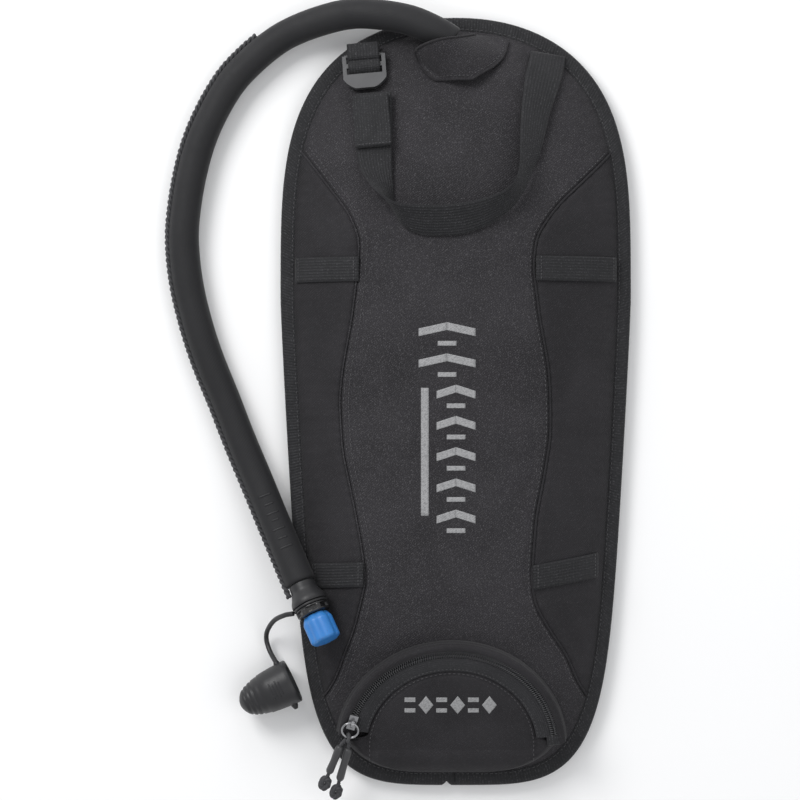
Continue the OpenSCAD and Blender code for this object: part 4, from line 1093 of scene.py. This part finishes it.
def tunnel(x, y):
    """Height of the port's raised passage, which opens towards the hose."""
    run = TUNNEL_TO - TUNNEL_FROM
    px, py = x - TUNNEL_FROM[0], y - TUNNEL_FROM[1]
    s = np.clip((px * run[0] + py * run[1]) / (run @ run), 0, 1.1)
    q = np.abs(px * run[1] - py * run[0]) / math.sqrt(run @ run)
    return TUNNEL_H * s ** 0.8 * np.maximum(0, 1 - np.minimum(1, q / TUNNEL_HALF) ** 2)


def patch_z(x, y):
    wrinkle = 0.5 * soft_noise(x, y, 9, 4) + 0.25 * soft_noise(x, y, 5, 5)
    return front_z(x, y) + 1.4 + tunnel(x, y) + np.maximum(-0.6, wrinkle)


rows_p = catmull(PORT_ROWS, 10)
fine_y = arc_lengths(rows_p[:, :1])
even_y = np.linspace(0, 1, 60) * fine_y[-1]
rows_p = np.stack([np.interp(even_y, fine_y, rows_p[:, k]) for k in range(3)], 1)
port_y, port_left, port_right = rows_p.T
port_x = port_left[:, None] + (port_right - port_left)[:, None] * np.linspace(0, 1, 70)[None]
port_y = np.broadcast_to(port_y[:, None], port_x.shape)
patch_grid = np.stack([port_x, port_y, patch_z(port_x, port_y)], 2)
patch = shell("tube_port_patch", patch_grid, under(patch_grid, 1.0), "panel_fabric")
settled(patch, "root", ["tube_port_patch"])
# its folded hem, on the opening edge and round the sewn side
open_edge = np.array([[r[1], r[0]] for r in rows_p if r[0] >= 230])
sewn_edge = np.concatenate([
    np.array([[r[1], r[0]] for r in rows_p if r[0] < 230])[::-1],
    np.array([[r[2], r[0]] for r in rows_p])])
hem_parts = []
for name, flat, r in (("hem_a", open_edge, 0.9), ("hem_b", sewn_edge, 0.8)):
    flat = resample(flat, 1.2, smooth=False)
    line = np.stack([flat[:, 0], flat[:, 1], patch_z(flat[:, 0], flat[:, 1]) - 0.3], 1)
    hem_parts.append(tube(name, line, r, 8, "side_fabric"))
hem = joined(hem_parts, "port_patch_hem")
settled(hem)
sewn = resample(offset_line(sewn_edge, -2.2), 1.2, smooth=False)
sewn = np.column_stack([sewn, patch_z(sewn[:, 0], sewn[:, 1])])
patch_thread = stitches("port_patch_stitching", sewn, np.tile([0, 0, 1.0], (len(sewn), 1)),
                        2.8, 1.9, 0.27, 0.1)
settled(patch_thread)

# ---------------------------------------------------------------- pocket
ZC = np.array([-3, -221, 29.0])
TILT = math.radians(20)
ZIP_R = 67.0
PANEL_R = ZIP_R - 12
ZIP_FROM, ZIP_TO = 8.0, 168.0
GUSSET_R = ZIP_R + 4


def on_pocket(x, y, z):
    return np.stack([ZC[0] + x + 0 * z, ZC[1] + y * math.cos(TILT) - z * math.sin(TILT),
                     ZC[2] + y * math.sin(TILT) + z * math.cos(TILT)], -1)


def plane_z(y):
    return ZC[2] + (y - ZC[1]) * math.tan(TILT)


def panel_z(y):
    drop = np.clip((-222 - y) / 17, 0, 1)
    low = EDGE_Z + 0.6
    return np.where(y > -222, plane_z(y), low + (plane_z(-222.0) - low) * np.sqrt(1 - drop ** 2))


def arc_points(r, z, count=240, a0=ZIP_FROM, a1=ZIP_TO):
    a = np.radians(np.linspace(a0, a1, count))
    return on_pocket(r * np.cos(a), r * np.sin(a), np.full(count, float(z)))


def pocket_side(y, r):
    """Half width of the pocket at radius r: round over the zip, straight down below it."""
    up_part = np.sqrt(np.maximum(0, r ** 2 - (np.maximum(0, y - ZC[1]) / math.cos(TILT)) ** 2))
    return np.minimum(up_part, half_w(y, BIND) - 3.5)


top_y = ZC[1] + PANEL_R * math.cos(TILT) - 0.05
yp = row_heights(150, -238.0, top_y, 1.25)
join_y = ZC[1] + 9.0
blend_w = np.clip((join_y - yp) / 5, 0, 1)
blend_w = blend_w * blend_w * (3 - 2 * blend_w)
half_p = pocket_side(yp, PANEL_R) * (1 - blend_w) + np.minimum(pocket_side(yp, GUSSET_R - 1.5), 68) * blend_w
across_p = np.linspace(-1, 1, 150)
xp = ZC[0] + half_p[:, None] * across_p[None]
ypp = np.broadcast_to(yp[:, None], xp.shape)
half_turn = np.radians(np.arange(0, 181, 2))
panel_arc = np.stack([ZC[0] + PANEL_R * np.cos(half_turn),
                      ZC[1] + PANEL_R * math.cos(TILT) * np.sin(half_turn)], 1)
line_in = np.concatenate([[[ZC[0] + PANEL_R, -238.0]], panel_arc, [[ZC[0] - PANEL_R, -238.0]]])
line_in = resample(line_in, 1.5, smooth=False)
line_in2 = resample((line_in - [ZC[0], ZC[1]]) * [0.94, 0.94] + [ZC[0], ZC[1]], 1.5, smooth=False)
dp, sp_ = nearest(xp, ypp, line_in)
dq, _ = nearest(xp, ypp, line_in2)
bulge = 0.5 * soft_noise(xp, ypp, 20, 6) + 0.2 * soft_noise(xp, ypp, 8, 7)
bulge = bulge + 1.0 * pillow(np.hypot((xp - ZC[0]) / 58, (ypp + 205) / 42))
bulge = bulge - 0.9 * np.exp(-(dp / 1.3) ** 2) - 0.5 * np.exp(-(dq / 1.0) ** 2)
bulge = bulge + 0.2 * np.sin(2 * math.pi * sp_ / 6.7) * np.exp(-dp / 4)
edge_fade = np.clip((ypp + 238) / 6, 0, 1) * np.clip((top_y - ypp) / 1.0, 0.0, 1)
panel_grid = np.stack([xp, ypp, panel_z(ypp) + np.clip(bulge, -1.2, 1.8) * edge_fade], 2)
# below the zip's ends the cloth rolls over to meet the pouch
roll = np.clip((np.abs(xp - ZC[0]) - (half_p[:, None] - 7)) / 7, 0, 1) * blend_w[:, None]
meet = front_z(xp, ypp) + 1.2
roll = roll ** 2.2
panel_grid[..., 2] = panel_grid[..., 2] * (1 - roll) + np.minimum(panel_grid[..., 2], meet) * roll
pocket_panel = shell("pocket_panel", panel_grid, under(panel_grid, FABRIC_T), "side_fabric", "panel_fabric")
settled(pocket_panel, "root", ["pocket_panel"])

# wall and rolled rim outside the zip
arc = np.linspace(ZIP_FROM - 4, ZIP_TO + 4, 260)
rad = np.radians(arc)
rim_profile = [(-1.3, 0.5), (-1.2, 1.3), (-0.4, 1.9), (0.6, 2.1), (1.7, 1.6), (2.3, 0.4)]
wall_rows = []
for dr, dz in rim_profile:
    r = GUSSET_R + dr
    wall_rows.append(on_pocket(r * np.cos(rad), r * np.sin(rad), np.full(len(rad), dz)))
last = wall_rows[-1]
for f in (0.25, 0.5, 0.75, 1.0):
    q = last.copy()
    floor_z = front_z(q[:, 0], q[:, 1]) + 0.5
    out_dir = np.stack([np.cos(rad), np.sin(rad) * math.cos(TILT)], 1)
    q[:, :2] += out_dir * (1.6 * f ** 3)
    crease = 0.5 * math.sin(math.pi * f) * soft_noise(arc * 1.1, 0 * arc, 6, 8)
    q[:, 2] = last[:, 2] * (1 - f) + floor_z * f + crease
    wall_rows.append(q)
wall = np.stack(wall_rows, 1)[::-1]
wall_n = grid_normals(wall)
gusset = shell("pocket_gusset", wall, wall - wall_n * 0.8, "side_fabric")
settled(gusset, "root", ["pocket_gusset"])

pocket_threads = []
up_n = on_pocket(0.0, 0.0, 1.0) - on_pocket(0.0, 0.0, 0.0)


def arc_stitch(r, z, a0=ZIP_FROM, a1=ZIP_TO):
    path = arc_points(r, z, 260, a0, a1)
    pocket_threads.append(stitches("t5", path, np.tile(up_n, (len(path), 1)), 2.6, 1.8, 0.27, 0.1))


arc_stitch(GUSSET_R + 0.4, 2.1)
arc_stitch(PANEL_R + 1.6, 0.95)
stitch_line = resample((line_in - [ZC[0], ZC[1]]) * [0.965, 0.965] + [ZC[0], ZC[1]], 1.5, smooth=False)
stitch_line = stitch_line[stitch_line[:, 1] > -232]
stitch_z = []
for x, y in stitch_line:
    row = np.abs(yp - y).argmin()
    stitch_z.append(panel_grid[row, np.abs(xp[row] - x).argmin(), 2])
path = np.column_stack([stitch_line, stitch_z])
pocket_threads.append(stitches("t6", path, np.tile(up_n, (len(path), 1)), 3.0, 1.9, 0.25, 0.05))
pocket_thread = joined(pocket_threads, "pocket_stitching")
settled(pocket_thread)


def arc_tape(name, r0, r1, bow):
    a = np.radians(np.linspace(ZIP_FROM, ZIP_TO, 200))
    u = np.linspace(0, 1, 12)
    r = (r0 + (r1 - r0) * u)[None] + 0 * a[:, None]
    z = 0.8 + bow * np.sin(math.pi * u)[None] + 0.08 * np.sin(a[:, None] * r0 * 2.2)
    top = on_pocket(r * np.cos(a)[:, None], r * np.sin(a)[:, None], z)
    low = on_pocket(r * np.cos(a)[:, None], r * np.sin(a)[:, None], z * 0)
    lay = np.stack([r * a[:, None], r, 0 * r], 2)
    flip = np.s_[::-1]
    return shell(name, top[flip], low[flip], "zip_tape", lay=lay[flip])


for name, r0, r1, bow in (("pocket_zip_tape_inner", PANEL_R + 0.2, ZIP_R - 2.35, 0.9),
                          ("pocket_zip_tape_outer", ZIP_R + 2.35, GUSSET_R - 0.1, 0.25)):
    settled(arc_tape(name, r0, r1, bow), "root", [name])
for name, r, ph in (("pocket_zip_coil_inner", ZIP_R - 1.2, 0.0),
                    ("pocket_zip_coil_outer", ZIP_R + 1.2, math.pi)):
    coil = helix(name, arc_points(r, 0.55, 400), 1.05, 1.5, 0.36, "zip_coil",
                 up=up_n, squeeze=0.75, phase=ph)
    settled(coil, "root", [name])

# end tab: a folded piece of tape over the zip's right end
tab_u, tab_v = np.linspace(-1, 1, 16), np.linspace(-1, 1, 16)
a_tab = math.radians(ZIP_FROM - 2.5)
rr = (ZIP_R - 0.7) + 4.6 * tab_u[None] + 0 * tab_v[:, None]
off = 3.6 * tab_v[:, None] + 0 * tab_u[None]
puff = 1.2 + 1.3 * (1 - np.abs(tab_u[None]) ** 4) * (1 - np.abs(tab_v[:, None]) ** 4)
tx = rr * math.cos(a_tab) - off * math.sin(a_tab)
ty = rr * math.sin(a_tab) + off * math.cos(a_tab)
tab = shell("pocket_zip_end_tab", on_pocket(tx, ty, puff), on_pocket(tx, ty, puff * 0 + 0.1),
            "webbing", lay=np.stack([off, rr, 0 * rr], 2))
settled(tab, "root", ["pocket_zip_end_tab"])

# slider and its pull: the cord is two twisted strands with a knot on each
SLIDE = math.radians(163)


def at_slider(p):
    x, y, z = np.asarray(p, float).T
    c, s = math.cos(SLIDE), math.sin(SLIDE)
    return on_pocket(ZIP_R * c + x * c - y * s, ZIP_R * s + x * s + y * c, 0.4 + z)


def at_pull(p):
    x, y, z = np.asarray(p, float).T
    x, y = -y, x
    c, s = math.cos(math.radians(-2)), math.sin(math.radians(-2))
    y, z = y * c - z * s, y * s + z * c
    return at_slider(np.stack([x, y, z + 4.6], 1))


RING_R = 5.2
CORD_X = 2 * RING_R - 2.5
CORD_ENDS = [(-4.6, 39), (4.2, 43)]
cord_parts, knots = [], []
loop_a = np.linspace(-2.5, 2.5, 40)
eye = np.stack([CORD_X + 2.4 - 2.3 * np.cos(loop_a), 0.5 * np.sin(loop_a), 2.3 * np.sin(loop_a)], 1)
cord_parts.append(tube("c0", at_pull(eye), 1.15, 12, "pull_cord"))
pull_lines = []
for cy, cx in CORD_ENDS:
    bend_y = 2.7 if cy > 0 else -2.7
    start, end = np.array([CORD_X + 3.6, 0.1 * cy, 0]), np.array([cx + 6, cy, -1.0])
    bend_at = np.array([CORD_X + 9, bend_y, 0])
    line = catmull([start, bend_at, bend_at * 0.5 + end * 0.5, end], 18)
    pull_lines.append(at_pull(line))
    for ph in (0, 2 * math.pi / 3, 4 * math.pi / 3):
        cord_parts.append(helix("c1", pull_lines[-1], 0.62, 6.5, 0.68, "pull_cord", phase=ph))
    t = np.linspace(0, 2 * math.pi, 90, endpoint=False)
    for turn in (0.0, 1.1):
        wide = 2 + np.cos(3 * t)
        knot = np.stack([wide * np.cos(2 * t + turn), wide * np.sin(2 * t + turn), np.sin(3 * t)], 1)
        knot = knot * [1.6, 1.1, 1.15] + [cx + 7.8, cy, -0.7]
        knots.append(tube("k", at_pull(knot), 1.05, 8, "pull_cord", closed=True))
pull = joined(cord_parts + knots, "pocket_pull_cord")
settled(pull, "pocket_pull", ["pocket_pull_cord"])
sleeves = []
for line, (cy, cx) in zip(pull_lines, CORD_ENDS):
    n = len(line)
    part = resample(line[int(n * 0.36):int(n * 0.86)], 0.9, smooth=False)
    r = 2.5 + 0.1 * np.sin(np.arange(len(part)) / 3.0)
    r[0], r[-1] = 1.8, 1.8
    r[1], r[-2] = 2.3, 2.3
    sleeves.append(tube("s", part, r, 24, "pull_sleeve"))
settled(joined(sleeves, "pocket_pull_sleeves"), "pocket_pull", ["pocket_pull_sleeves"])


# ---------------------------------------------------------------- back zip
def flat_tape(name, y0, y1):
    x = np.linspace(-ZIP_HALF, ZIP_HALF, 150)
    u = np.linspace(0, 1, 12)
    xx = np.broadcast_to(x[:, None], (150, 12))
    yy = np.broadcast_to((y0 + (y1 - y0) * u)[None], (150, 12))
    z = 3.0 + 0.06 * np.sin(xx * 2.2)
    lay = np.stack([xx, yy, 0 * xx], 2)
    top, low = np.stack([xx, yy, z + 0.75], 2), np.stack([xx, yy, z], 2)
    return shell(name, top[::-1], low[::-1], "zip_tape", lay=lay[::-1])


settled(flat_tape("back_zip_tape_upper", 198.35, 206), "root", ["back_zip_tape_upper"])
settled(flat_tape("back_zip_tape_lower", 186, 193.65), "root", ["back_zip_tape_lower"])
for name, y, ph in (("back_zip_coil_upper", 197.2, 0.0), ("back_zip_coil_lower", 194.8, math.pi)):
    line = np.array([[-70.0, y, 3.4], [70.0, y, 3.4]])
    settled(helix(name, line, 1.0, 1.5, 0.34, "zip_coil", squeeze=0.75, phase=ph),
            "root", [name])
edges = []
for y in (186.2, 205.8):
    line = np.array([[x, y, 0.75] for x in np.linspace(-ZIP_HALF, ZIP_HALF, 40)])
    edges.append(stitches("t7", line, np.tile([0, 0, -1.0], (40, 1)), 3.0, 2.0, 0.27, 0.05))
ring = outline(BIND + 17, 1.5)
line = np.stack([ring[:, 0], ring[:, 1], np.full(len(ring), 0.35)], 1)
edges.append(stitches("t8", line, np.tile([0, 0, -1.0], (len(line), 1)), 3.4, 2.3, 0.26, -0.02))
back_thread = joined(edges, "back_stitching")
settled(back_thread)

# ---------------------------------------------------------------- valve group
boot_profile = rounded([(0.4, 5.3), (0.4, 8.5), (5.6, 8.6), (7.6, 9.4), (12.6, 11.8), (15.5, 12.0),
                        (15.5, 9.4), (12.5, 5.3)], 1.2)
boot = lathe("valve_boot", boot_profile, VALVE_AT, VALVE_DIR, "boot_rubber")
settled(boot, "root", ["valve_boot"])


def toothed(angle, s, r):
    """Six blocks stand between the two flanges of the ring."""
    inside = (s > 18.9) & (s < 21.6) & (r > 8)
    block = np.clip((np.cos(6 * angle) - 0.35) * 6, 0, 1)
    return np.where(inside, 8.9 + 2.1 * block, r)


ring_profile = [(0.6, 3.1), (0.6, 4.8), (15.7, 4.8), (15.75, 9.1), (17.6, 9.2), (17.7, 10.8), (18.6, 11.1),
                (18.8, 10.6), (18.95, 10.0), (19.4, 10.0), (20.4, 10.0), (21.3, 10.0),
                (21.5, 10.0), (21.7, 10.5), (22.0, 10.7), (22.7, 10.4), (23.0, 9.6), (23.0, 4.8),
                (31.8, 4.8), (31.8, 3.1)]
adapter = lathe("valve_adapter", ring_profile, VALVE_AT, VALVE_DIR, "fitting_black",
                radial=toothed)
settled(adapter, "root", ["valve_adapter"])


def lobed(angle, s, r):
    """Soft flats round the mouthpiece."""
    flats = 1 - 0.075 * (0.5 + 0.5 * np.cos(7 * angle + 0.6)) ** 2
    return np.where(r > 6.5, r * flats, r)


bite_profile = rounded([(23.35, 5.3), (23.35, 7.7), (27.3, 9.75), (28.2, 10.0), (40.9, 10.0),
                        (42.0, 8.6), (42.35, 5.0), (42.4, 0.35), (32.0, 0.35), (32.0, 5.3)], 0.8)
bite = lathe("bite_valve", bite_profile, VALVE_AT, VALVE_DIR, "valve_silicone",
             radial=lobed)
settled(bite, "mouthpiece", ["bite_valve"])

TETHER = [[-105.2, -133.7, 33.2], [-111, -135, 29.5], [-118, -139, 20], [-122.8, -146, 10.5],
          [-123.8, -152.5, 6], [-121.4, -160, 8.4], [-117, -167, 15]]
collar_profile = rounded([(15.95, 9.7), (15.95, 11.5), (17.4, 11.5), (17.4, 9.7)], 0.4)
collar = lathe("tether_collar", collar_profile, VALVE_AT, VALVE_DIR, "boot_rubber")
settled(collar, "cover")
tether_path = resample(TETHER, 1.0)
tether = tube("cover_tether", tether_path, 1.6, 20, "boot_rubber")
settled(tether, "cover", ["cover_tether"])

COVER_AT = np.array([-106, -178.4, 29 / 2 + 0.6])
COVER_DIR = np.array([math.cos(math.radians(205.5)), math.sin(math.radians(205.5)), 0])


cover_outer = [(0.3, 13.2), (0.0, 13.9), (0.5, 14.45), (3.5, 14.5), (10, 14.2), (16, 13.7), (20.6, 13.2),
               (21.0, 12.75), (23, 12.4), (25.4, 11.9), (25.9, 11.2), (26.6, 11.15),
               (27.1, 11.4), (28.6, 10.9), (29.1, 10.2), (29.8, 10.1), (30.3, 10.3),
               (31.6, 9.6), (32.1, 8.8), (32.8, 8.6), (33.3, 8.7), (34.8, 7.4),
               (36.4, 5.2), (37.5, 2.8), (38, 0.2)]
cover_inner = [(30.0, 0.2), (29.0, 5.0), (26, 8.6), (21, 10.8), (14, 12.0), (6, 12.6), (1.2, 12.9)]
cover = lathe("valve_cover_shell", cover_outer + cover_inner, COVER_AT, COVER_DIR, "boot_rubber",
              segments=112)
cover_side = np.array([-COVER_DIR[1], COVER_DIR[0], 0])
nub_base = COVER_AT + COVER_DIR * 6 + cover_side * 13.0
nub = lathe("nub", rounded([(-1.5, 0.05), (-1.5, 2.8), (2.6, 2.1), (4.6, 1.2), (4.8, 0.05)], 0.7), nub_base,
            cover_side, "boot_rubber", segments=32, up=(0, 0, 1))
plug_end = np.array([-117, -167, 15.0])
inward = (COVER_AT + COVER_DIR * 7) - plug_end
inward /= np.linalg.norm(inward)
lump_profile = rounded([(-1.0, 0.05), (-1.0, 1.7), (2.5, 2.6), (5.0, 3.0), (5.0, 0.05)], 0.6)
root_lump = lathe("lump", lump_profile, plug_end, inward, "boot_rubber", segments=32)
bars = []
side = np.cross(COVER_DIR, (0, 0, 1.0))
upright = np.array([0, 0, 1.0])
for s0, span in ((8.5, 0.30), (10.6, 0.42), (12.7, 0.34), (14.8, 0.42)):
    a = np.linspace(math.pi / 2 - span, math.pi / 2 + span, 14)
    bar_r = np.interp(s0, [c[0] for c in cover_outer[2:9]], [c[1] for c in cover_outer[2:9]]) - 0.1
    line = COVER_AT + COVER_DIR * s0 + bar_r * (np.cos(a)[:, None] * side + np.sin(a)[:, None] * upright)
    bars.append(tube("bar", line, 0.42, 8, "boot_rubber", up=tuple(COVER_DIR)))
cover = joined([cover, nub, root_lump] + bars, "valve_cover")
settled(cover, "cover", ["valve_cover"])

# ---------------------------------------------------------------- reservoir
BAG_FROM, BAG_TO, BAG_HALF, BAG_LOW, BAG_HIGH = -205.0, 186.0, 66.0, 3.4, 22.0
CAP_Y, NECK_R = 152.0, 29.5


def bag_half(y):
    return np.minimum(np.minimum(BAG_HALF, half_w(y, BIND) - 26), BAG_HALF - np.maximum(0, y - 150) * 0.58)


def bag_floor(y):
    return np.interp(y, [88, 106], [BAG_LOW, BAG_HIGH])


def bag_full(u, y):
    ends = np.where(y < 0, np.minimum(1, (y - BAG_FROM) / 40), np.minimum(1, (BAG_TO - y) / 14))
    return np.sqrt(np.maximum(0, 1 - np.abs(u) ** 8)) * np.sqrt(np.maximum(0, ends))


rows_bag = row_heights(150, BAG_FROM + 0.1, BAG_TO - 0.1, 1.3)
across_bag = np.linspace(-1, 1, 70)
bag_u = np.broadcast_to(across_bag[None], (150, 70))
bag_y = np.broadcast_to(rows_bag[:, None], (150, 70))
bag_x = bag_half(rows_bag)[:, None] * across_bag[None]
rim_z = np.maximum(13.0, bag_floor(bag_y) + 1.4)
swell = bag_full(bag_u, bag_y)
crinkle_bag = 0.2 * soft_noise(bag_x, bag_y, 11, 9) + 0.12 * soft_noise(bag_x, bag_y, 5, 10)
roof = front_z(bag_x, bag_y) - 1 - foam_t(bag_x, bag_y) - 0.5 - 2.2
front_film = rim_z + 0.7 + np.maximum(0, roof - rim_z - 1) * swell + crinkle_bag
back_film = rim_z - 0.3 - (rim_z - 1 - bag_floor(bag_y)) * swell + crinkle_bag
cells_y = (bag_y[:-1, :-1] + bag_y[1:, 1:]) / 2
cells_x = (bag_x[:-1, :-1] + bag_x[1:, 1:]) / 2
neck = np.hypot(cells_x, cells_y - CAP_Y) < NECK_R
for name, height, keep in (("reservoir_front_film", front_film, None),
                           ("reservoir_back_film", back_film, ~neck)):
    sheet_top = np.stack([bag_x, bag_y, height], 2)
    film = shell(name, sheet_top, under(sheet_top, 0.4), "bag_film", keep=keep)
    settled(film, "root", [name])

INSIDE_ROUTE = [
    [79.5, -102, 13.6], [79.8, -80, 14], [82, -40, 15], [85, 0, 15], [86, 40, 15], [86, 80, 15],
    [84, 115, 15], [78, 145, 15], [70, 168, 15], [58, 186, 15], [45, 201, 15.5],
    [32, 213, 17], [20, 222, 21], [8, 230, 26], [-2, 236, 29.6]]
inside_path = resample(INSIDE_ROUTE, 3)
inner_tube = tube("reservoir_tube", inside_path, TUBE_D / 2, 24, "tube_plastic")
settled(inner_tube, "root", ["reservoir_tube"])

# ---------------------------------------------------------------- braid, drink tube, marks on the hose
from_i = int(len(hose_path) * 0.26)
run = hose_path[from_i:]
outward = -hose_side[from_i:]
if (outward[len(outward) // 2] @ np.array([-1.0, 0.2, 0])) < 0:
    outward = -outward
tail_t = hose_t[-1]
ridge = run + outward * (HOSE_D / 2 + 0.95)
extra = np.array([ridge[-1] + tail_t * d for d in (1.5, 3.0, 4.5, 6.0)])
ridge = np.concatenate([ridge, extra])
braid_parts = [helix("b", ridge, 0.95, 7.6, 1.05, "pull_cord", "hose_cover", phase=ph, turns=12)
               for ph in (0, math.pi)]
braid = joined(braid_parts, "hose_seam_braid")
settled(braid)

drink = tube("drink_tube", resample(HOSE_ROUTE, 4), TUBE_D / 2, 24, "tube_plastic")
settled(drink, "root", ["drink_tube"])

mark_parts = []
s_end = hose_s[-1]
for k, span in enumerate((0.42, 0.30, 0.42, 0.22, 0.42, 0.30, 0.42)):
    i = int(np.searchsorted(hose_s, s_end - 62 + k * 6.2))
    a = np.linspace(math.pi / 2 + 0.1 - span, math.pi / 2 + 0.1 + span, 12)
    around = np.cos(a)[:, None] * hose_side[i] + np.sin(a)[:, None] * hose_up[i]
    line = hose_path[i] + (HOSE_D / 2 + 0.02) * around
    mark_parts.append(tube("m", line, 0.55, 8, "boot_rubber", up=tuple(hose_t[i])))
hose_mark = joined(mark_parts, "hose_ridges")
settled(hose_mark)

# ---------------------------------------------------------------- printed marks: plain geometric shapes
def slab(corners, height_fn, nu=10, nv=10):
    c = np.array(corners, float)
    u, v = np.meshgrid(np.linspace(0, 1, nu), np.linspace(0, 1, nv), indexing="xy")
    p = (c[0] * ((1 - u) * (1 - v))[..., None] + c[1] * (u * (1 - v))[..., None]
         + c[2] * (u * v)[..., None] + c[3] * ((1 - u) * v)[..., None])
    z = height_fn(p[..., 0], p[..., 1])
    top = np.stack([p[..., 0], p[..., 1], z + 0.16], 2)
    low = np.stack([p[..., 0], p[..., 1], z - 0.3], 2)
    return shell("slab", top, low, INK)


marks = []
for k in range(7):
    y0 = 54 - k * 20
    x0, x1 = (-24.5, 12) if k < 2 else (-13, 12)
    mid_x = (x0 + x1) / 2
    marks.append(slab([(x0, y0 - 9), (mid_x, y0 - 5), (mid_x, y0), (x0, y0 - 4)], cloth_z))
    marks.append(slab([(mid_x, y0 - 5), (x1, y0 - 9), (x1, y0 - 4), (mid_x, y0)], cloth_z))
    bar_x0, bar_x1 = mid_x - 6, mid_x + 6
    marks.append(slab([(bar_x0, y0 - 15), (bar_x1, y0 - 15), (bar_x1, y0 - 12), (bar_x0, y0 - 12)], cloth_z))
marks.append(slab([(-23, -70), (-18, -70), (-18, 12), (-23, 12)], cloth_z, 5, 40))
front_mark = joined(marks, "front_print")
settled(front_mark)


def pocket_height(x, y):
    i = np.clip(np.searchsorted(yp, y), 1, len(yp) - 1)
    t = (y - yp[i - 1]) / (yp[i] - yp[i - 1])
    half = half_p[i - 1] * (1 - t) + half_p[i] * t
    v = np.clip(((x - ZC[0]) / half + 1) / 2 * (len(across_p) - 1), 0, len(across_p) - 1.001)
    j = v.astype(int)
    f = v - j
    g = panel_grid[..., 2]
    low_row = g[i - 1, j] * (1 - f) + g[i - 1, j + 1] * f
    high_row = g[i, j] * (1 - f) + g[i, j + 1] * f
    return low_row * (1 - t) + high_row * t


marks = []
for k in range(6):
    x0 = -33.5 + k * 10.2
    if k % 2 == 0:
        marks.append(slab([(x0, -197), (x0 + 7, -197), (x0 + 7, -194.2), (x0, -194.2)], pocket_height))
        marks.append(slab([(x0, -190), (x0 + 7, -190), (x0 + 7, -187), (x0, -187)], pocket_height))
    else:
        diamond = [(x0 + 3.6, -198), (x0 + 8.4, -192), (x0 + 3.6, -186), (x0 - 1.2, -192)]
        marks.append(slab(diamond, pocket_height))
pocket_mark = joined(marks, "pocket_print")
settled(pocket_mark)

# ---------------------------------------------------------------- CAD nodes that stay, with their finishes
for part in frame["record"]["subparts"]:
    node = NODES[part["node"]]
    if node.hide_render:
        continue
    node.data.materials.clear()
    node.data.materials.append(MATERIALS[part["material_slot"]])
BEVELS = {
    "ladder_lock_buckle": 0.7, "pocket_zip_slider": 0.35, "back_zip_slider": 0.2, "back_zip_pull": 0.12,
    "fill_cap": 0.6, "fill_collar": 0.4, "quick_link_body": 0.4, "quick_link_button": 0.4,
    "outlet_elbow": 0.3,
}
for name, width in BEVELS.items():
    if name in NODES and not NODES[name].hide_render:
        bevelled(NODES[name], width)

# ---------------------------------------------------------------- floor
FLOOR_HALF, FLOOR_Z = 6000, -0.3
floor_corners = [(x * FLOOR_HALF, y * FLOOR_HALF, FLOOR_Z) for x, y in ((-1, -1), (1, -1), (1, 1), (-1, 1))]
floor = made_object("floor", floor_corners, [(0, 1, 2, 3)], floor_shader.mat, smooth=False)
